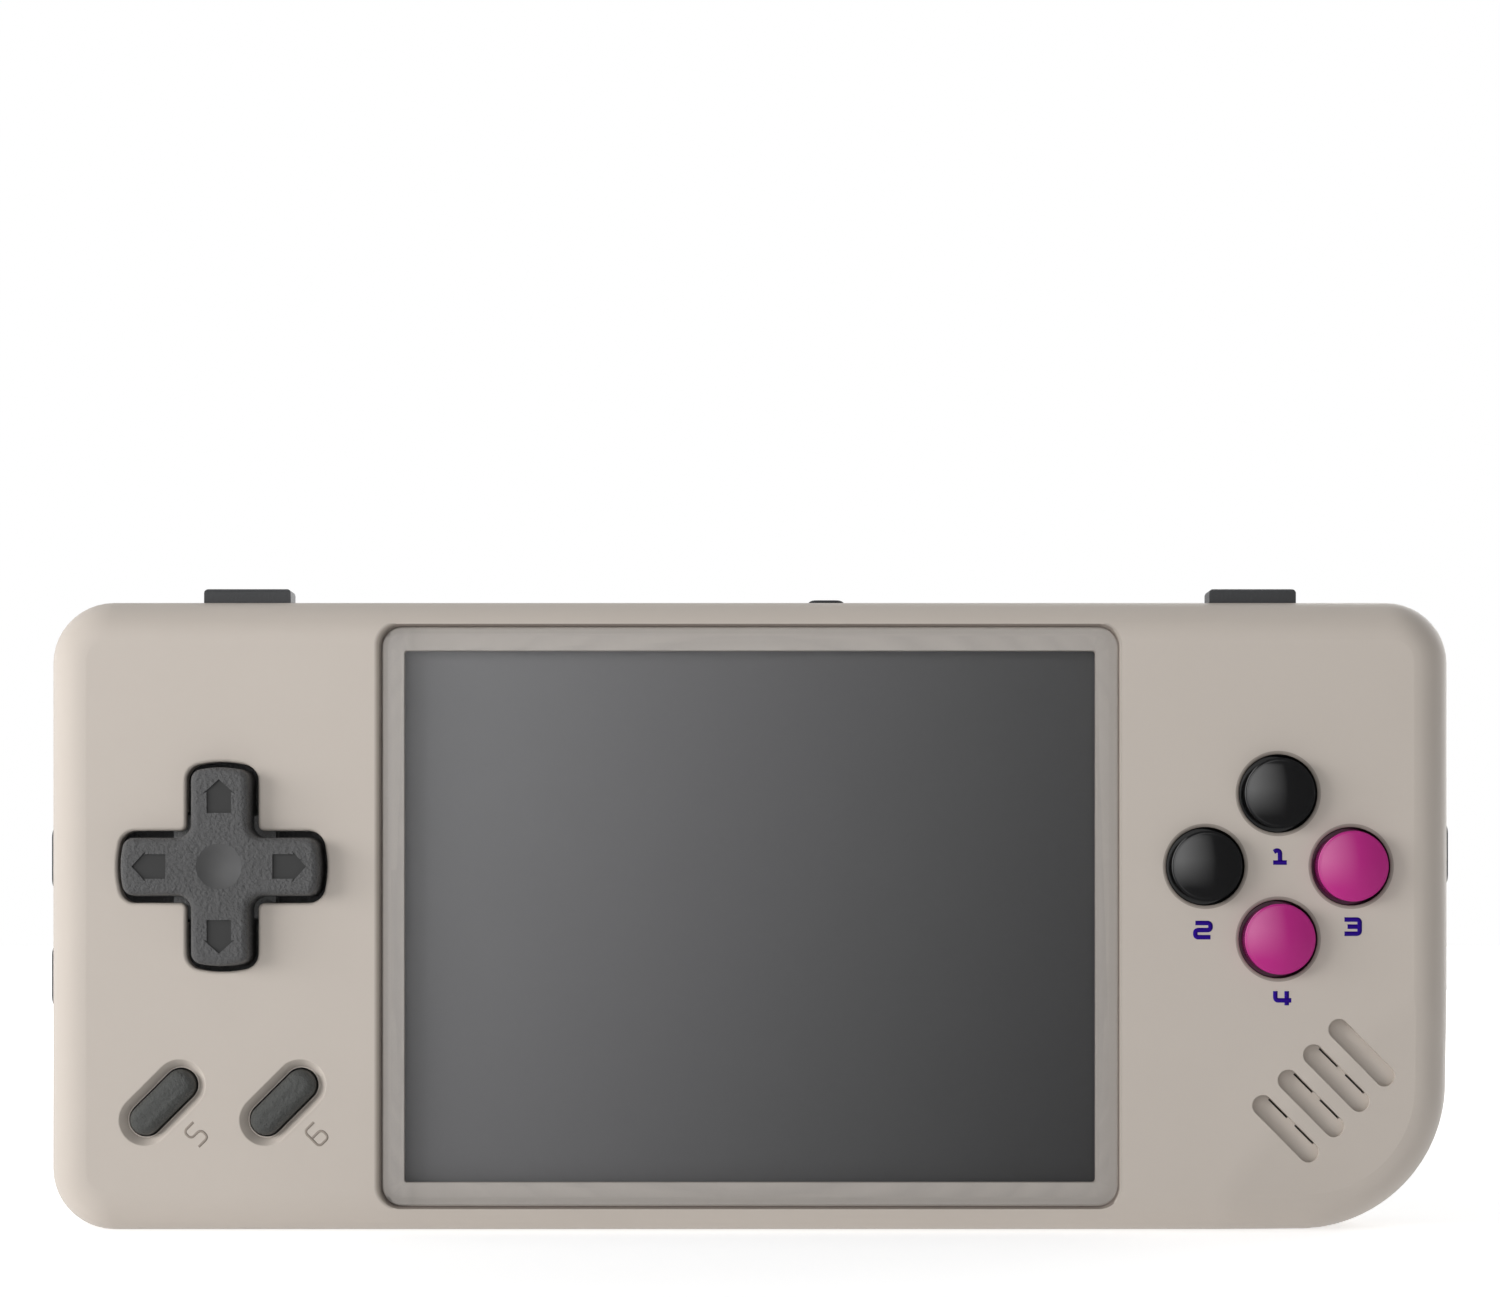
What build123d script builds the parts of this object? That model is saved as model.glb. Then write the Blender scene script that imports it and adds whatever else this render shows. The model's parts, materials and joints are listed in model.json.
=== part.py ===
from build123d import *
import math
import os

# Handheld game console, in millimetres. X runs to the right, Z up and Y from the front face to the back.
# The console stands on its lower edge, and the origin is under the middle of its whole depth.

# Case
case_width = 139.0
case_height = 62.5
case_depth = 16.5
corner_radius = 6.1
large_corner_radius = 14.5
rim_radius = 4.0
side_wall = 1.6
front_wall = 1.8
rear_wall = 1.6
seam_chamfer = 0.15
tongue_height = 0.6
tongue_thickness = 0.7
seam_gap = 0.1
wall_bite = 0.5
overrun = 1.0
tolerance = 0.001
seat_gap = 0.05

# Thumb relief that slopes away towards the large corner
relief_reach = 20.0
relief_radius = 70.0
relief_blend_radius = 16.0
relief_angle = 5.5

# Screen
control_field_width = 33.2
lens_end_inset = 2.7
lens_corner_radius = 1.9
lens_thickness = 1.5
lens_edge_radius = 0.9
lens_gap = 0.12
lens_drop = 0.05
lens_lip_radius = 0.25
adhesive_thickness = 0.15
adhesive_edge_inset = 0.3
adhesive_window_gap = 0.05
window_side_inset = 2.1
window_end_inset = 2.25
window_corner_radius = 0.3
ledge_thickness = 1.05
frame_margin = 1.2
screen_gasket_thickness = 0.3
screen_gasket_width = 1.4
panel_end_inset = 0.25
panel_thickness = 1.0
tray_thickness = 1.9
tray_wall = 0.3
tray_back = 0.8

# Main board and what stands on it
board_depth = 5.65
board_thickness = 1.2
board_inset = 3.4
board_drop = 4.5
can_width = 24.0
can_thickness = 1.9
can_wall = 0.3
can_x = -6.0
can_foot_gap = 8.85
can_top_room = 11.0
chip_margin = 4.0
chip_thickness = 0.9
chip_width = 9.0
chip_height = 6.0
chip_spread = 5.0
chip_gap = 1.5
low_chip_z = 18.75
connector_width = 20.0
connector_height = 2.4
connector_thickness = 1.1
connector_x = 20.0
connector_drop = 15.0
flex_width = 18.0
flex_thickness = 0.2
flex_overlap = 4.0
flex_slot_height = 1.6
header_width = 5.6
header_height = 4.4
header_thickness = 1.6
plug_thickness = 0.8
header_gap = 8.5
header_drop = 14.0

# Battery
battery_width = 64.0
battery_thickness = 5.2
battery_foot_gap = 3.2
battery_top_room = 10.0
battery_corner_radius = 1.5
tape_thickness = 0.15
tape_width = 12.0
tape_spread = 20.0
battery_rib_gap = 0.4
battery_rib_width = 1.0
battery_rib_height = 2.2
lead_radius = 0.5
lead_spacing = 2.2
lead_bend_radius = 2.2
lead_depth = 12.2

# Direction pad
pad_inset = 17.44
pad_rise = 4.85
pad_proud = 2.0
pad_reach = 9.85
pad_arm_width = 5.85
pad_tip_radius = 1.2
pad_inner_radius = 1.3
pad_edge_radius = 0.7
pad_draft = 2.0
pad_gap = 0.5
pad_side_gap = 0.62
pad_opening_tip_radius = 1.6
pad_opening_inner_radius = 0.6
pad_lip_radius = 0.35
pad_wall = 0.9
pad_collar_width = 10.1
pad_collar_gap = 0.75
pad_pocket_gap = 0.4
pad_skirt_margin = 1.45
pad_skirt_side_margin = 1.0
pad_skirt_gap = 1.15
pad_skirt_thickness = 0.6
pad_boss_radius = 2.7
dimple_radius = 2.25
dimple_sink = 0.6
arrow_reach = 8.55
arrow_length = 3.3
arrow_head_length = 1.43
arrow_barb_drop = 0.18
arrow_head_width = 3.2
arrow_shaft_width = 2.4
arrow_sink = 0.25
pivot_ball_radius = 1.5
pivot_neck_radius = 1.1
pivot_height = 2.0
pivot_gap = 0.05

# Round face buttons
cluster_inset = 17.4
cluster_rise = 4.9
cluster_offset_share = 0.11488
button_radius_share = 0.05568
button_gap = 0.3
button_lip = 0.35
button_rim_proud = 1.3
button_dome_height = 0.6
button_edge_radius = 0.3
button_flange_margin = 1.0
button_flange_thickness = 0.8
button_stem_radius = 2.4
button_stem_length = 0.55
button_lug_width = 1.4
button_lug_length = 0.5

# Slanted pill buttons in their dishes
pill_inset = 17.47
pill_z = 12.85
pill_spacing = 11.89
pill_length = 7.9
pill_width = 3.05
pill_proud = 0.5
pill_edge_radius = 1.0
pill_gap = 0.18
pill_slant = 45.0
dish_length = 10.0
dish_width = 5.1
dish_sink = 0.9
dish_taper = 40.0
dish_lip = 0.15
pill_flange_margin = 0.75
pill_flange_thickness = 0.7
pill_stem_length = 0.65
pill_stem_width = 1.6
pill_stem_height = 5.0

# Rubber membranes under the buttons
membrane_thickness = 0.5
membrane_margin = 1.5
dome_base_radius = 3.0
dome_top_radius = 2.2
pad_dome_offset = 7.4
pad_dome_base_radius = 2.3
pad_dome_top_radius = 1.6
pad_membrane_margin = 0.6

# Speaker and its slots
slot_length = 8.6
slot_width = 2.1
slot_pitch = 3.54
slot_count = 4
open_slot_count = 3
slots_inset = 12.86
slots_rise_share = 0.224
slot_sink = 1.15
slit_length = 2.6
slit_width = 0.2
slit_spread = 3.65
speaker_radius = 7.4
speaker_opening_radius = 5.9
speaker_wall = 1.1
speaker_gap = 0.2
speaker_seat_depth = 2.8
speaker_ring_height = 1.9
speaker_gasket_thickness = 0.4
speaker_basket_thickness = 0.9
speaker_magnet_radius = 4.6
speaker_magnet_thickness = 1.2
speaker_cone_sink = 0.4
speaker_cone_radius = 2.3
speaker_contact_width = 1.2
speaker_contact_spread = 3.4

# Shoulder buttons in the top edge, a front pair and a rear pair
shoulder_inset = 19.28
shoulder_width = 8.65
shoulder_depth = 3.4
shoulder_proud = 1.45
shoulder_start = 4.05
shoulder_edge_radius = 0.45
rear_shoulder_inset = 18.38
rear_shoulder_width = 7.8
rear_shoulder_start = 9.05
shoulder_gap = 0.15
shoulder_flange_margin = 0.8
shoulder_flange_thickness = 0.8
shoulder_stem_width = 3.0
shoulder_stem_depth = 0.9
shoulder_travel = 0.6

# Small buttons in the edges
menu_x = 7.7
menu_length = 3.9
menu_width = 2.2
menu_proud = 0.67
side_button_length = 6.4
side_button_width = 2.4
side_button_proud = 1.0
side_button_edge_radius = 0.5
volume_up_drop = 25.4
volume_down_drop = 37.3
power_drop = 25.0
edge_button_gap = 0.12
edge_flange_margin = 0.7
edge_flange_thickness = 0.7
edge_stem_radius = 0.7
edge_travel = 0.3

# Edge switches on the board
switch_length = 3.0
switch_width = 4.0
switch_thickness = 2.0
tall_switch_thickness = 4.0
plunger_length = 0.6
plunger_width = 2.0
plunger_depth = 0.9
contact_gap = 0.05

# Sockets in the edges
port_gap = 0.2
port_sink = 0.3
socket_wall = 0.3
socket_corner_share = 0.33
socket_tongue_thickness = 0.7
usb_spacing = 15.0
usb_width = 9.0
usb_thickness = 3.2
usb_length = 7.4
usb_tongue_width = 6.6
video_x = -14.0
video_width = 11.2
video_thickness = 3.1
video_length = 7.5
video_tongue_width = 8.4
jack_spacing = 17.5
jack_width = 6.2
jack_thickness = 5.0
jack_length = 13.0
jack_bore_radius = 1.77
jack_bore_length = 12.0
jack_barrel_radius = 2.45
card_spacing = 16.0
system_card_spacing = 20.0
card_slot_width = 12.6
card_slot_thickness = 1.5
card_slot_length = 14.5
card_mouth_width = 11.2
card_mouth_thickness = 0.85

# Screws
screw_side_inset = 6.5
screw_large_corner_inset = 25.0
screw_top_inset = 6.0
screw_bottom_inset = 5.4
board_screw_margin = 3.3
board_screw_inset = 4.0
board_screw_low = 8.5
boss_radius = 2.2
boss_gap = 0.4
rear_boss_radius = 2.7
screw_radius = 0.85
screw_bite = 3.4
pilot_clearance = 0.02
screw_hole_clearance = 0.25
screw_head_radius = 1.6
screw_head_height = 1.1
screw_head_clearance = 0.25
screw_head_round_share = 0.33
screw_recess_depth = 4.0
screw_slot_length = 2.0
screw_slot_width = 0.45
screw_slot_sink = 0.5
standoff_radius = 1.8
board_screw_radius = 0.7
board_screw_bite = 2.4
board_screw_head_radius = 1.4
board_screw_head_height = 0.7

os.makedirs("parts", exist_ok=True)

# The pad stands furthest forward, and the whole depth with it is centred on the origin.
front_y = -(case_depth + pad_proud) / 2 + pad_proud
seam_depth = case_depth / 2
board_back = board_depth + board_thickness
recess_depth = lens_thickness + adhesive_thickness
frame_depth = recess_depth + ledge_thickness
gasket_back = frame_depth + screen_gasket_thickness
tray_front = gasket_back + panel_thickness - (tray_thickness - tray_back)
tray_back_depth = tray_front + tray_thickness
cavity_back = case_depth - rear_wall
inner_top = case_height - side_wall
pivot_depth = board_depth - pivot_height
slot_tilt = -45.0
quarter_turn = 90.0

# Places that follow the case and each other
side_x = case_width / 2
inner_side = side_x - side_wall
lens_width = case_width - 2 * control_field_width
lens_height = case_height - 2 * lens_end_inset
lens_z = case_height / 2 - lens_drop
window_width = lens_width - 2 * window_side_inset
window_height = lens_height - 2 * window_end_inset
panel_width = lens_width
panel_height = lens_height - 2 * panel_end_inset
pad_x = pad_inset - side_x
pad_z = case_height / 2 + pad_rise
cluster_x = side_x - cluster_inset
cluster_z = case_height / 2 + cluster_rise
pill_x = pill_inset - side_x
cluster_offset = case_height * cluster_offset_share
button_radius = case_height * button_radius_share
slots_x = side_x - slots_inset
slots_z = case_height * slots_rise_share
shoulder_x = side_x - shoulder_inset
rear_shoulder_x = side_x - rear_shoulder_inset
side_button_zs = {
    "volume_up_button": case_height - volume_up_drop,
    "volume_down_button": case_height - volume_down_drop,
    "power_button": case_height - power_drop,
}
jack_x = side_x - screw_large_corner_inset - jack_spacing
usb_x = jack_x - usb_spacing
system_card_x = usb_x - system_card_spacing
card_xs = {"card_slot_system": system_card_x, "card_slot_games": system_card_x - card_spacing}
board_top = case_height - board_drop
connector_z = board_top - connector_drop
header_x = battery_width / 2 + header_gap
header_z = board_top - header_drop
card_slot_end = side_wall + seat_gap + card_slot_length
can_bottom = card_slot_end + can_foot_gap
can_height = board_top - can_top_room - can_bottom
can_z = can_bottom + can_height / 2
battery_bottom = port_sink + jack_length + battery_foot_gap
battery_height = case_height - battery_bottom - battery_top_room


def depth_y(depth):
    return front_y + depth


def slab(sketch, front_depth, back_depth):
    """A sketch in face coordinates, x and z, made solid between two depths behind the front face."""
    plane = Plane(origin=(0, depth_y(back_depth), 0), x_dir=(1, 0, 0), z_dir=(0, -1, 0))
    return extrude(plane * sketch, amount=back_depth - front_depth)


def side_slab(sketch, x_from, x_to):
    plane = Plane(origin=(x_from, 0, 0), x_dir=(0, 1, 0), z_dir=(1, 0, 0))
    return extrude(plane * sketch, amount=x_to - x_from)


def edge_slab(sketch, z_from, z_to):
    return extrude(Plane.XY.offset(z_from) * sketch, amount=z_to - z_from)


def brick(x_mid, width, front_depth, back_depth, z_from, z_to):
    sheet = Pos(x_mid, (z_from + z_to) / 2) * Rectangle(width, z_to - z_from)
    return slab(sheet, front_depth, back_depth)


def edges_at_depth(solid, depth, x_mid, z_mid, reach):
    y = depth_y(depth)
    found = solid.edges().filter_by_position(Axis.Y, y - tolerance, y + tolerance)
    middles = [(e, e.center(CenterOf.BOUNDING_BOX)) for e in found]
    return [e for e, mid in middles if math.hypot(mid.X - x_mid, mid.Z - z_mid) < reach]


# Case form: a flat front that rolls into a shallow cone across the large corner, with rounded rims
def case_outline(inset):
    sheet = Pos(0, case_height / 2) * Rectangle(case_width - 2 * inset, case_height - 2 * inset)
    small = sorted(sheet.vertices(), key=lambda v: v.X - v.Y)[:3]
    sheet = fillet(small, corner_radius - inset)
    large = max(sheet.vertices(), key=lambda v: v.X - v.Y)
    return fillet(large, large_corner_radius - inset)


def relief_solid(front_depth, back_depth):
    slope = math.radians(relief_angle)
    run = relief_blend_radius * math.tan(slope / 2)
    far = relief_radius + case_width + case_height
    face_y, back_y = depth_y(front_depth), depth_y(back_depth)
    start = (relief_radius + run, face_y)
    end = (relief_radius - run * math.cos(slope), face_y + run * math.sin(slope))
    apex = (0, face_y + relief_radius * math.tan(slope))
    outline = Polyline(end, apex, (0, back_y), (far, back_y), (far, face_y), start)
    outline += TangentArc(start, end, tangent=(-1, 0))
    axis_offset = (relief_radius - relief_reach) / math.sqrt(2)
    axis_point = (side_x + axis_offset, 0, -axis_offset)
    profile = Plane(origin=axis_point, x_dir=(1, 0, 0), z_dir=(0, 0, 1)) * make_face(outline)
    return revolve(profile, Axis(axis_point, (0, 1, 0)), 360)


def case_block(inset, front_depth, back_depth):
    prism = slab(case_outline(inset), front_depth, back_depth + overrun)
    block = prism & relief_solid(front_depth, back_depth)
    walls = [f for f in block.faces() if abs(f.normal_at().Y) < tolerance]
    rims = [e for f in walls for e in f.edges() if e.bounding_box().size.Y < rim_radius]
    return fillet(rims, rim_radius - inset)


def case_half(front_depth, back_depth):
    half = case_block(0, 0, case_depth) & slab(case_outline(-overrun), front_depth, back_depth)
    half = chamfer(edges_at_depth(half, seam_depth, 0, case_height / 2, case_width), seam_chamfer)
    return half - case_block(side_wall, front_wall, cavity_back)


# Outlines on the front face
def rounded(width, height, radius):
    return RectangleRounded(width, height, radius)


def lens_outline(margin):
    return Pos(0, lens_z) * rounded(
        lens_width + 2 * margin, lens_height + 2 * margin, lens_corner_radius + margin
    )


def window_outline(margin):
    sheet = rounded(window_width + 2 * margin, window_height + 2 * margin, window_corner_radius)
    return Pos(0, lens_z) * sheet


def cross_outline(reach, arm_width, tip_radius, inner_radius):
    bars = Rectangle(arm_width, 2 * reach) + Rectangle(2 * reach, arm_width)
    sheet = bars & Circle(reach)
    tips = [v for v in sheet.vertices() if math.hypot(v.X, v.Y) > arm_width]
    sheet = fillet(tips, tip_radius)
    inner = [v for v in sheet.vertices() if math.hypot(v.X, v.Y) < arm_width]
    return Pos(pad_x, pad_z) * fillet(inner, inner_radius)


def pad_opening():
    return cross_outline(
        pad_reach + pad_gap,
        pad_arm_width + 2 * pad_side_gap,
        pad_opening_tip_radius,
        pad_opening_inner_radius,
    )


def button_places():
    return {
        "face_button_top": (cluster_x, cluster_z + cluster_offset),
        "face_button_left": (cluster_x - cluster_offset, cluster_z),
        "face_button_right": (cluster_x + cluster_offset, cluster_z),
        "face_button_bottom": (cluster_x, cluster_z - cluster_offset),
    }


def pill_outline(place, margin):
    length, width = pill_length + 2 * margin, pill_width + 2 * margin
    return Pos(*place) * SlotOverall(length, width, rotation=pill_slant)


def pill_places():
    return [(pill_x + side * pill_spacing / 2, pill_z) for side in (-1, 1)]


def case_screw_places():
    side, top = side_x - screw_side_inset, case_height - screw_top_inset
    low_right = side_x - screw_large_corner_inset
    low = screw_bottom_inset
    return [(-side, top), (side, top), (-side, low), (low_right, low)]


def board_screw_places():
    side = panel_width / 2 + board_screw_margin
    return [(x, z) for x in (-side, side) for z in (board_screw_low, board_top - board_screw_inset)]


def slot_places():
    step = slot_pitch / math.sqrt(2)
    middle = (slot_count - 1) / 2
    return [(slots_x + (i - middle) * step, slots_z + (i - middle) * step) for i in range(slot_count)]


def speaker_place():
    xs, zs = zip(*slot_places()[:open_slot_count])
    return sum(xs) / open_slot_count, sum(zs) / open_slot_count


# Openings that both shells share along the seam and in the edges
def side_outline(z, margin):
    length, width = side_button_length + 2 * margin, side_button_width + 2 * margin
    sheet = SlotOverall(length, width, rotation=quarter_turn)
    return Pos(depth_y(seam_depth), z) * sheet


def side_of(name):
    return 1 if name == "power_button" else -1


def menu_outline(margin):
    length, width = menu_length + 2 * margin, menu_width + 2 * margin
    return Pos(menu_x, depth_y(seam_depth)) * SlotOverall(length, width)


def shoulder_outline(x, width, start, margin):
    sheet = Rectangle(width + 2 * margin, shoulder_depth + 2 * margin)
    return Pos(x, depth_y(start + shoulder_depth / 2)) * sheet


def shoulder_places():
    rows = {
        "front": (shoulder_x, shoulder_width, shoulder_start),
        "rear": (rear_shoulder_x, rear_shoulder_width, rear_shoulder_start),
    }
    return {
        f"shoulder_{side}_{row}": (sign * x, width, start)
        for side, sign in (("left", -1), ("right", 1))
        for row, (x, width, start) in rows.items()
    }


def socket_outline(x, width, thickness, margin):
    sheet = RectangleRounded(width + 2 * margin, thickness + 2 * margin, thickness * socket_corner_share)
    return Pos(x, depth_y(board_back + thickness / 2)) * sheet


def edge_openings():
    z_low, z_high = inner_top - overrun, case_height + overrun
    cuts = edge_slab(menu_outline(edge_button_gap), z_low, z_high)
    for x, width, start in shoulder_places().values():
        cuts += edge_slab(shoulder_outline(x, width, start, shoulder_gap), z_low, z_high)
    cuts += edge_slab(socket_outline(video_x, video_width, video_thickness, port_gap), z_low, z_high)
    z_low, z_high = -overrun, side_wall + overrun
    cuts += edge_slab(socket_outline(usb_x, usb_width, usb_thickness, port_gap), z_low, z_high)
    jack_hole = Pos(jack_x, jack_y()) * Circle(jack_barrel_radius + port_gap)
    cuts += edge_slab(jack_hole, z_low, z_high)
    for x in card_xs.values():
        sheet = Pos(x, card_y()) * Rectangle(card_mouth_width + 2 * port_gap, card_slot_thickness)
        cuts += edge_slab(sheet, z_low, z_high)
    for name, z in side_button_zs.items():
        x_low, x_high = inner_side - overrun, side_x + overrun
        cut = side_slab(side_outline(z, edge_button_gap), x_low, x_high)
        cuts += cut if side_of(name) > 0 else mirror(cut, Plane.YZ)
    return cuts


def jack_y():
    return depth_y(board_back + jack_thickness / 2)


def card_y():
    return depth_y(board_back + card_slot_thickness / 2)


# Front shell
def face_cuts(shell):
    shell -= slab(lens_outline(lens_gap), -overrun, recess_depth)
    reach = math.hypot(lens_width, lens_height) / 2
    shell = fillet(edges_at_depth(shell, 0, 0, lens_z, reach), lens_lip_radius)
    shell -= slab(pad_opening(), -overrun, front_wall + overrun)
    shell = fillet(edges_at_depth(shell, 0, pad_x, pad_z, pad_reach + overrun), pad_lip_radius)
    for x, z in button_places().values():
        shell -= slab(Pos(x, z) * Circle(button_radius + button_gap), -overrun, front_wall + overrun)
        shell = fillet(edges_at_depth(shell, 0, x, z, button_radius), button_lip)
    for place in pill_places():
        shell -= dish(place)
        shell = fillet(edges_at_depth(shell, 0, *place, dish_length / 2), dish_lip)
        shell -= slab(pill_outline(place, pill_gap), -overrun, front_wall + overrun)
    return shell


def dish(place):
    sheet = Pos(*place) * SlotOverall(dish_length, dish_width, rotation=pill_slant)
    plane = Plane(origin=(0, depth_y(0), 0), x_dir=(1, 0, 0), z_dir=(0, 1, 0))
    mirrored = mirror(sheet, Plane.XZ)
    sunk = extrude(plane * mirrored, amount=dish_sink, taper=dish_taper)
    return sunk + slab(sheet, -overrun, 0)


def speaker_slots(shell):
    x_mid, z_mid = speaker_place()
    for i, place in enumerate(slot_places()):
        spot = Pos(*place) * Rot(0, 0, slot_tilt)
        shell -= slab(spot * SlotOverall(slot_length, slot_width), -overrun, slot_sink)
        if i < open_slot_count:
            for side in (-1, 1):
                slit = Pos(side * slit_spread / 2, (slot_width - slit_width) / 2)
                sheet = spot * slit * Rectangle(slit_length, slit_width)
                shell -= slab(sheet, slot_sink - tolerance, speaker_seat_depth + overrun)
    return shell


def window_frame():
    frame = slab(lens_outline(frame_margin), front_wall - wall_bite, frame_depth)
    frame -= slab(lens_outline(lens_gap), -overrun, recess_depth)
    return frame - slab(window_outline(0), 0, frame_depth + overrun)


def speaker_seat():
    x, z = speaker_place()
    outer = speaker_radius + speaker_gap + speaker_wall
    ring_back = speaker_seat_depth + speaker_ring_height
    ring = slab(Pos(x, z) * Circle(outer), front_wall - wall_bite / 2, ring_back)
    ring -= slab(Pos(x, z) * Circle(speaker_radius + speaker_gap), speaker_seat_depth, case_depth)
    return ring - slab(Pos(x, z) * Circle(speaker_opening_radius), 0, case_depth)


def tongue_ring(front_depth, back_depth, gap):
    outer = case_outline(side_wall - tongue_thickness - gap)
    inner = case_outline(side_wall + gap)
    return slab(outer - inner, front_depth, back_depth)


def front_shell():
    shell = face_cuts(case_half(-overrun, seam_depth))
    shell -= slab(window_outline(0), 0, frame_depth + overrun)
    shell += window_frame()
    shell += speaker_seat()
    shell = speaker_slots(shell)
    pocket = pad_collar_width + 2 * pad_pocket_gap
    shell -= slab(Pos(pad_x, pad_z) * Rectangle(pocket, pocket), pad_wall, front_wall + overrun)
    shell += tongue_ring(seam_depth - tongue_height, seam_depth + tongue_height, 0)
    for x, z in case_screw_places():
        shell += slab(Pos(x, z) * Circle(boss_radius), front_wall - wall_bite, seam_depth)
        hole = Pos(x, z) * Circle(screw_radius + pilot_clearance)
        shell -= slab(hole, seam_depth - screw_bite - overrun, seam_depth + overrun)
    for x, z in board_screw_places():
        shell += slab(Pos(x, z) * Circle(standoff_radius), front_wall - wall_bite, board_depth)
        hole = Pos(x, z) * Circle(board_screw_radius + pilot_clearance)
        shell -= slab(hole, board_depth - board_screw_bite - overrun / 2, board_depth + overrun)
    return shell - edge_openings()


# Rear shell
def rear_shell():
    shell = case_half(seam_depth, case_depth + overrun)
    shell -= tongue_ring(seam_depth - overrun, seam_depth + tongue_height + seam_gap, seam_gap)
    for x, z in case_screw_places():
        shell += slab(Pos(x, z) * Circle(rear_boss_radius), seam_depth, cavity_back + wall_bite)
        hole = Pos(x, z) * Circle(screw_radius + screw_hole_clearance)
        shell -= slab(hole, seam_depth - overrun, case_depth + overrun)
        head = Pos(x, z) * Circle(screw_head_radius + screw_head_clearance)
        shell -= slab(head, case_depth - screw_recess_depth, case_depth + overrun)
    inner = Rectangle(battery_width + 2 * battery_rib_gap, battery_height + 2 * battery_rib_gap)
    margin = battery_rib_gap + battery_rib_width
    outer = Rectangle(battery_width + 2 * margin, battery_height + 2 * margin)
    frame = battery_spot() * (outer - inner)
    ribs = slab(frame, cavity_back - battery_rib_height, cavity_back + wall_bite)
    return shell + ribs - edge_openings()


# Screen
def screen_lens():
    lens = slab(lens_outline(0), 0, lens_thickness)
    rim = edges_at_depth(lens, 0, 0, lens_z, lens_width)
    return fillet(rim, lens_edge_radius)


def lens_adhesive():
    ring = lens_outline(-adhesive_edge_inset) - window_outline(adhesive_window_gap)
    return slab(ring, lens_thickness, recess_depth)


def panel_sheet(width, height):
    return Pos(0, lens_z) * Rectangle(width, height)


def screen_gasket():
    outer = panel_sheet(panel_width, panel_height)
    inner = panel_sheet(panel_width - 2 * screen_gasket_width, panel_height - 2 * screen_gasket_width)
    return slab(outer - inner, frame_depth, gasket_back)


def lcd_panel():
    return slab(panel_sheet(panel_width, panel_height), gasket_back, gasket_back + panel_thickness)


def lcd_tray():
    margin = 2 * (tray_wall + seat_gap)
    tray = slab(panel_sheet(panel_width + margin, panel_height + margin), tray_front, tray_back_depth)
    pocket = panel_sheet(panel_width + 2 * seat_gap, panel_height + 2 * seat_gap)
    return tray - slab(pocket, tray_front - overrun, gasket_back + panel_thickness)


def lcd_flex():
    z_slot = flex_slot_z()
    board_strip = board_back + seat_gap + flex_thickness
    low = connector_z + connector_height
    runs = [
        (tray_back_depth, tray_back_depth + flex_thickness, z_slot, z_slot + flex_overlap),
        (tray_back_depth, board_strip, z_slot, z_slot + flex_thickness),
        (board_strip - flex_thickness, board_strip, low, z_slot + flex_thickness),
    ]
    on_tray, through, on_board = [brick(connector_x, flex_width, *run) for run in runs]
    return on_tray + through + on_board


def flex_slot_z():
    return connector_z + connector_height + flex_overlap


# Boards
def main_board():
    board = slab(case_outline(board_inset), board_depth, board_back)
    board &= brick(0, case_width, board_depth, board_back, 0, board_top)
    front, back = board_depth - overrun, board_back + overrun
    for x, z in case_screw_places():
        board -= slab(Pos(x, z) * Circle(boss_radius + boss_gap), front, back)
    for x, z in board_screw_places():
        board -= slab(Pos(x, z) * Circle(board_screw_radius + screw_hole_clearance), front, back)
    slot = Rectangle(flex_width + overrun, flex_slot_height)
    return board - slab(Pos(connector_x, flex_slot_z() + flex_thickness / 2) * slot, front, back)


def shield_can():
    spot = Pos(can_x, can_z)
    can = slab(spot * rounded(can_width, can_height, overrun), board_back, board_back + can_thickness)
    inner = rounded(can_width - 2 * can_wall, can_height - 2 * can_wall, overrun - can_wall)
    return can - slab(spot * inner, board_back - overrun, board_back + can_thickness - can_wall)


def chip_places():
    side = header_x + chip_spread
    under_header = header_z - header_height / 2 - chip_gap - chip_height / 2
    return [(-side, case_height / 2), (side, low_chip_z), (header_x, under_header)]


def board_chips():
    processor = Rectangle(can_width - 2 * chip_margin, can_height - 2 * chip_margin)
    sheets = [Pos(can_x, can_z) * processor]
    sheets += [Pos(*place) * Rectangle(chip_width, chip_height) for place in chip_places()]
    chips = [slab(sheet, board_back, board_back + chip_thickness) for sheet in sheets]
    return Compound(children=chips)


def board_connectors():
    flat = Rectangle(connector_width, connector_height)
    flat = Pos(connector_x, connector_z + connector_height / 2) * flat
    header = Pos(header_x, header_z) * Rectangle(header_width, header_height)
    bodies = [
        slab(flat, board_back, board_back + connector_thickness),
        slab(header, board_back, board_back + header_thickness),
    ]
    return Compound(children=bodies)


def edge_switch(x, front_depth, z, turn, thickness):
    body = Pos(0, thickness / 2, -switch_length / 2) * Box(switch_width, thickness, switch_length)
    plunger = Box(plunger_width, plunger_depth, plunger_length)
    switch = body + Pos(0, thickness / 2, plunger_length / 2) * plunger
    return Pos(x, depth_y(front_depth), z) * Rot(0, turn, 0) * switch


def switch_top():
    return board_top - shoulder_travel - contact_gap


def edge_switches():
    switches = [edge_switch(menu_x, board_back, switch_top(), 0, switch_thickness)]
    for name, (x, width, start) in shoulder_places().items():
        front = start < seam_depth
        thickness = switch_thickness if front else tall_switch_thickness
        depth = board_depth - switch_thickness if front else board_back
        switches.append(edge_switch(x, depth, switch_top(), 0, thickness))
    for name, z in side_button_zs.items():
        x = side_of(name) * side_switch_x()
        switches.append(edge_switch(x, board_back, z, side_of(name) * quarter_turn, switch_thickness))
    return Compound(children=switches)


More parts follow.
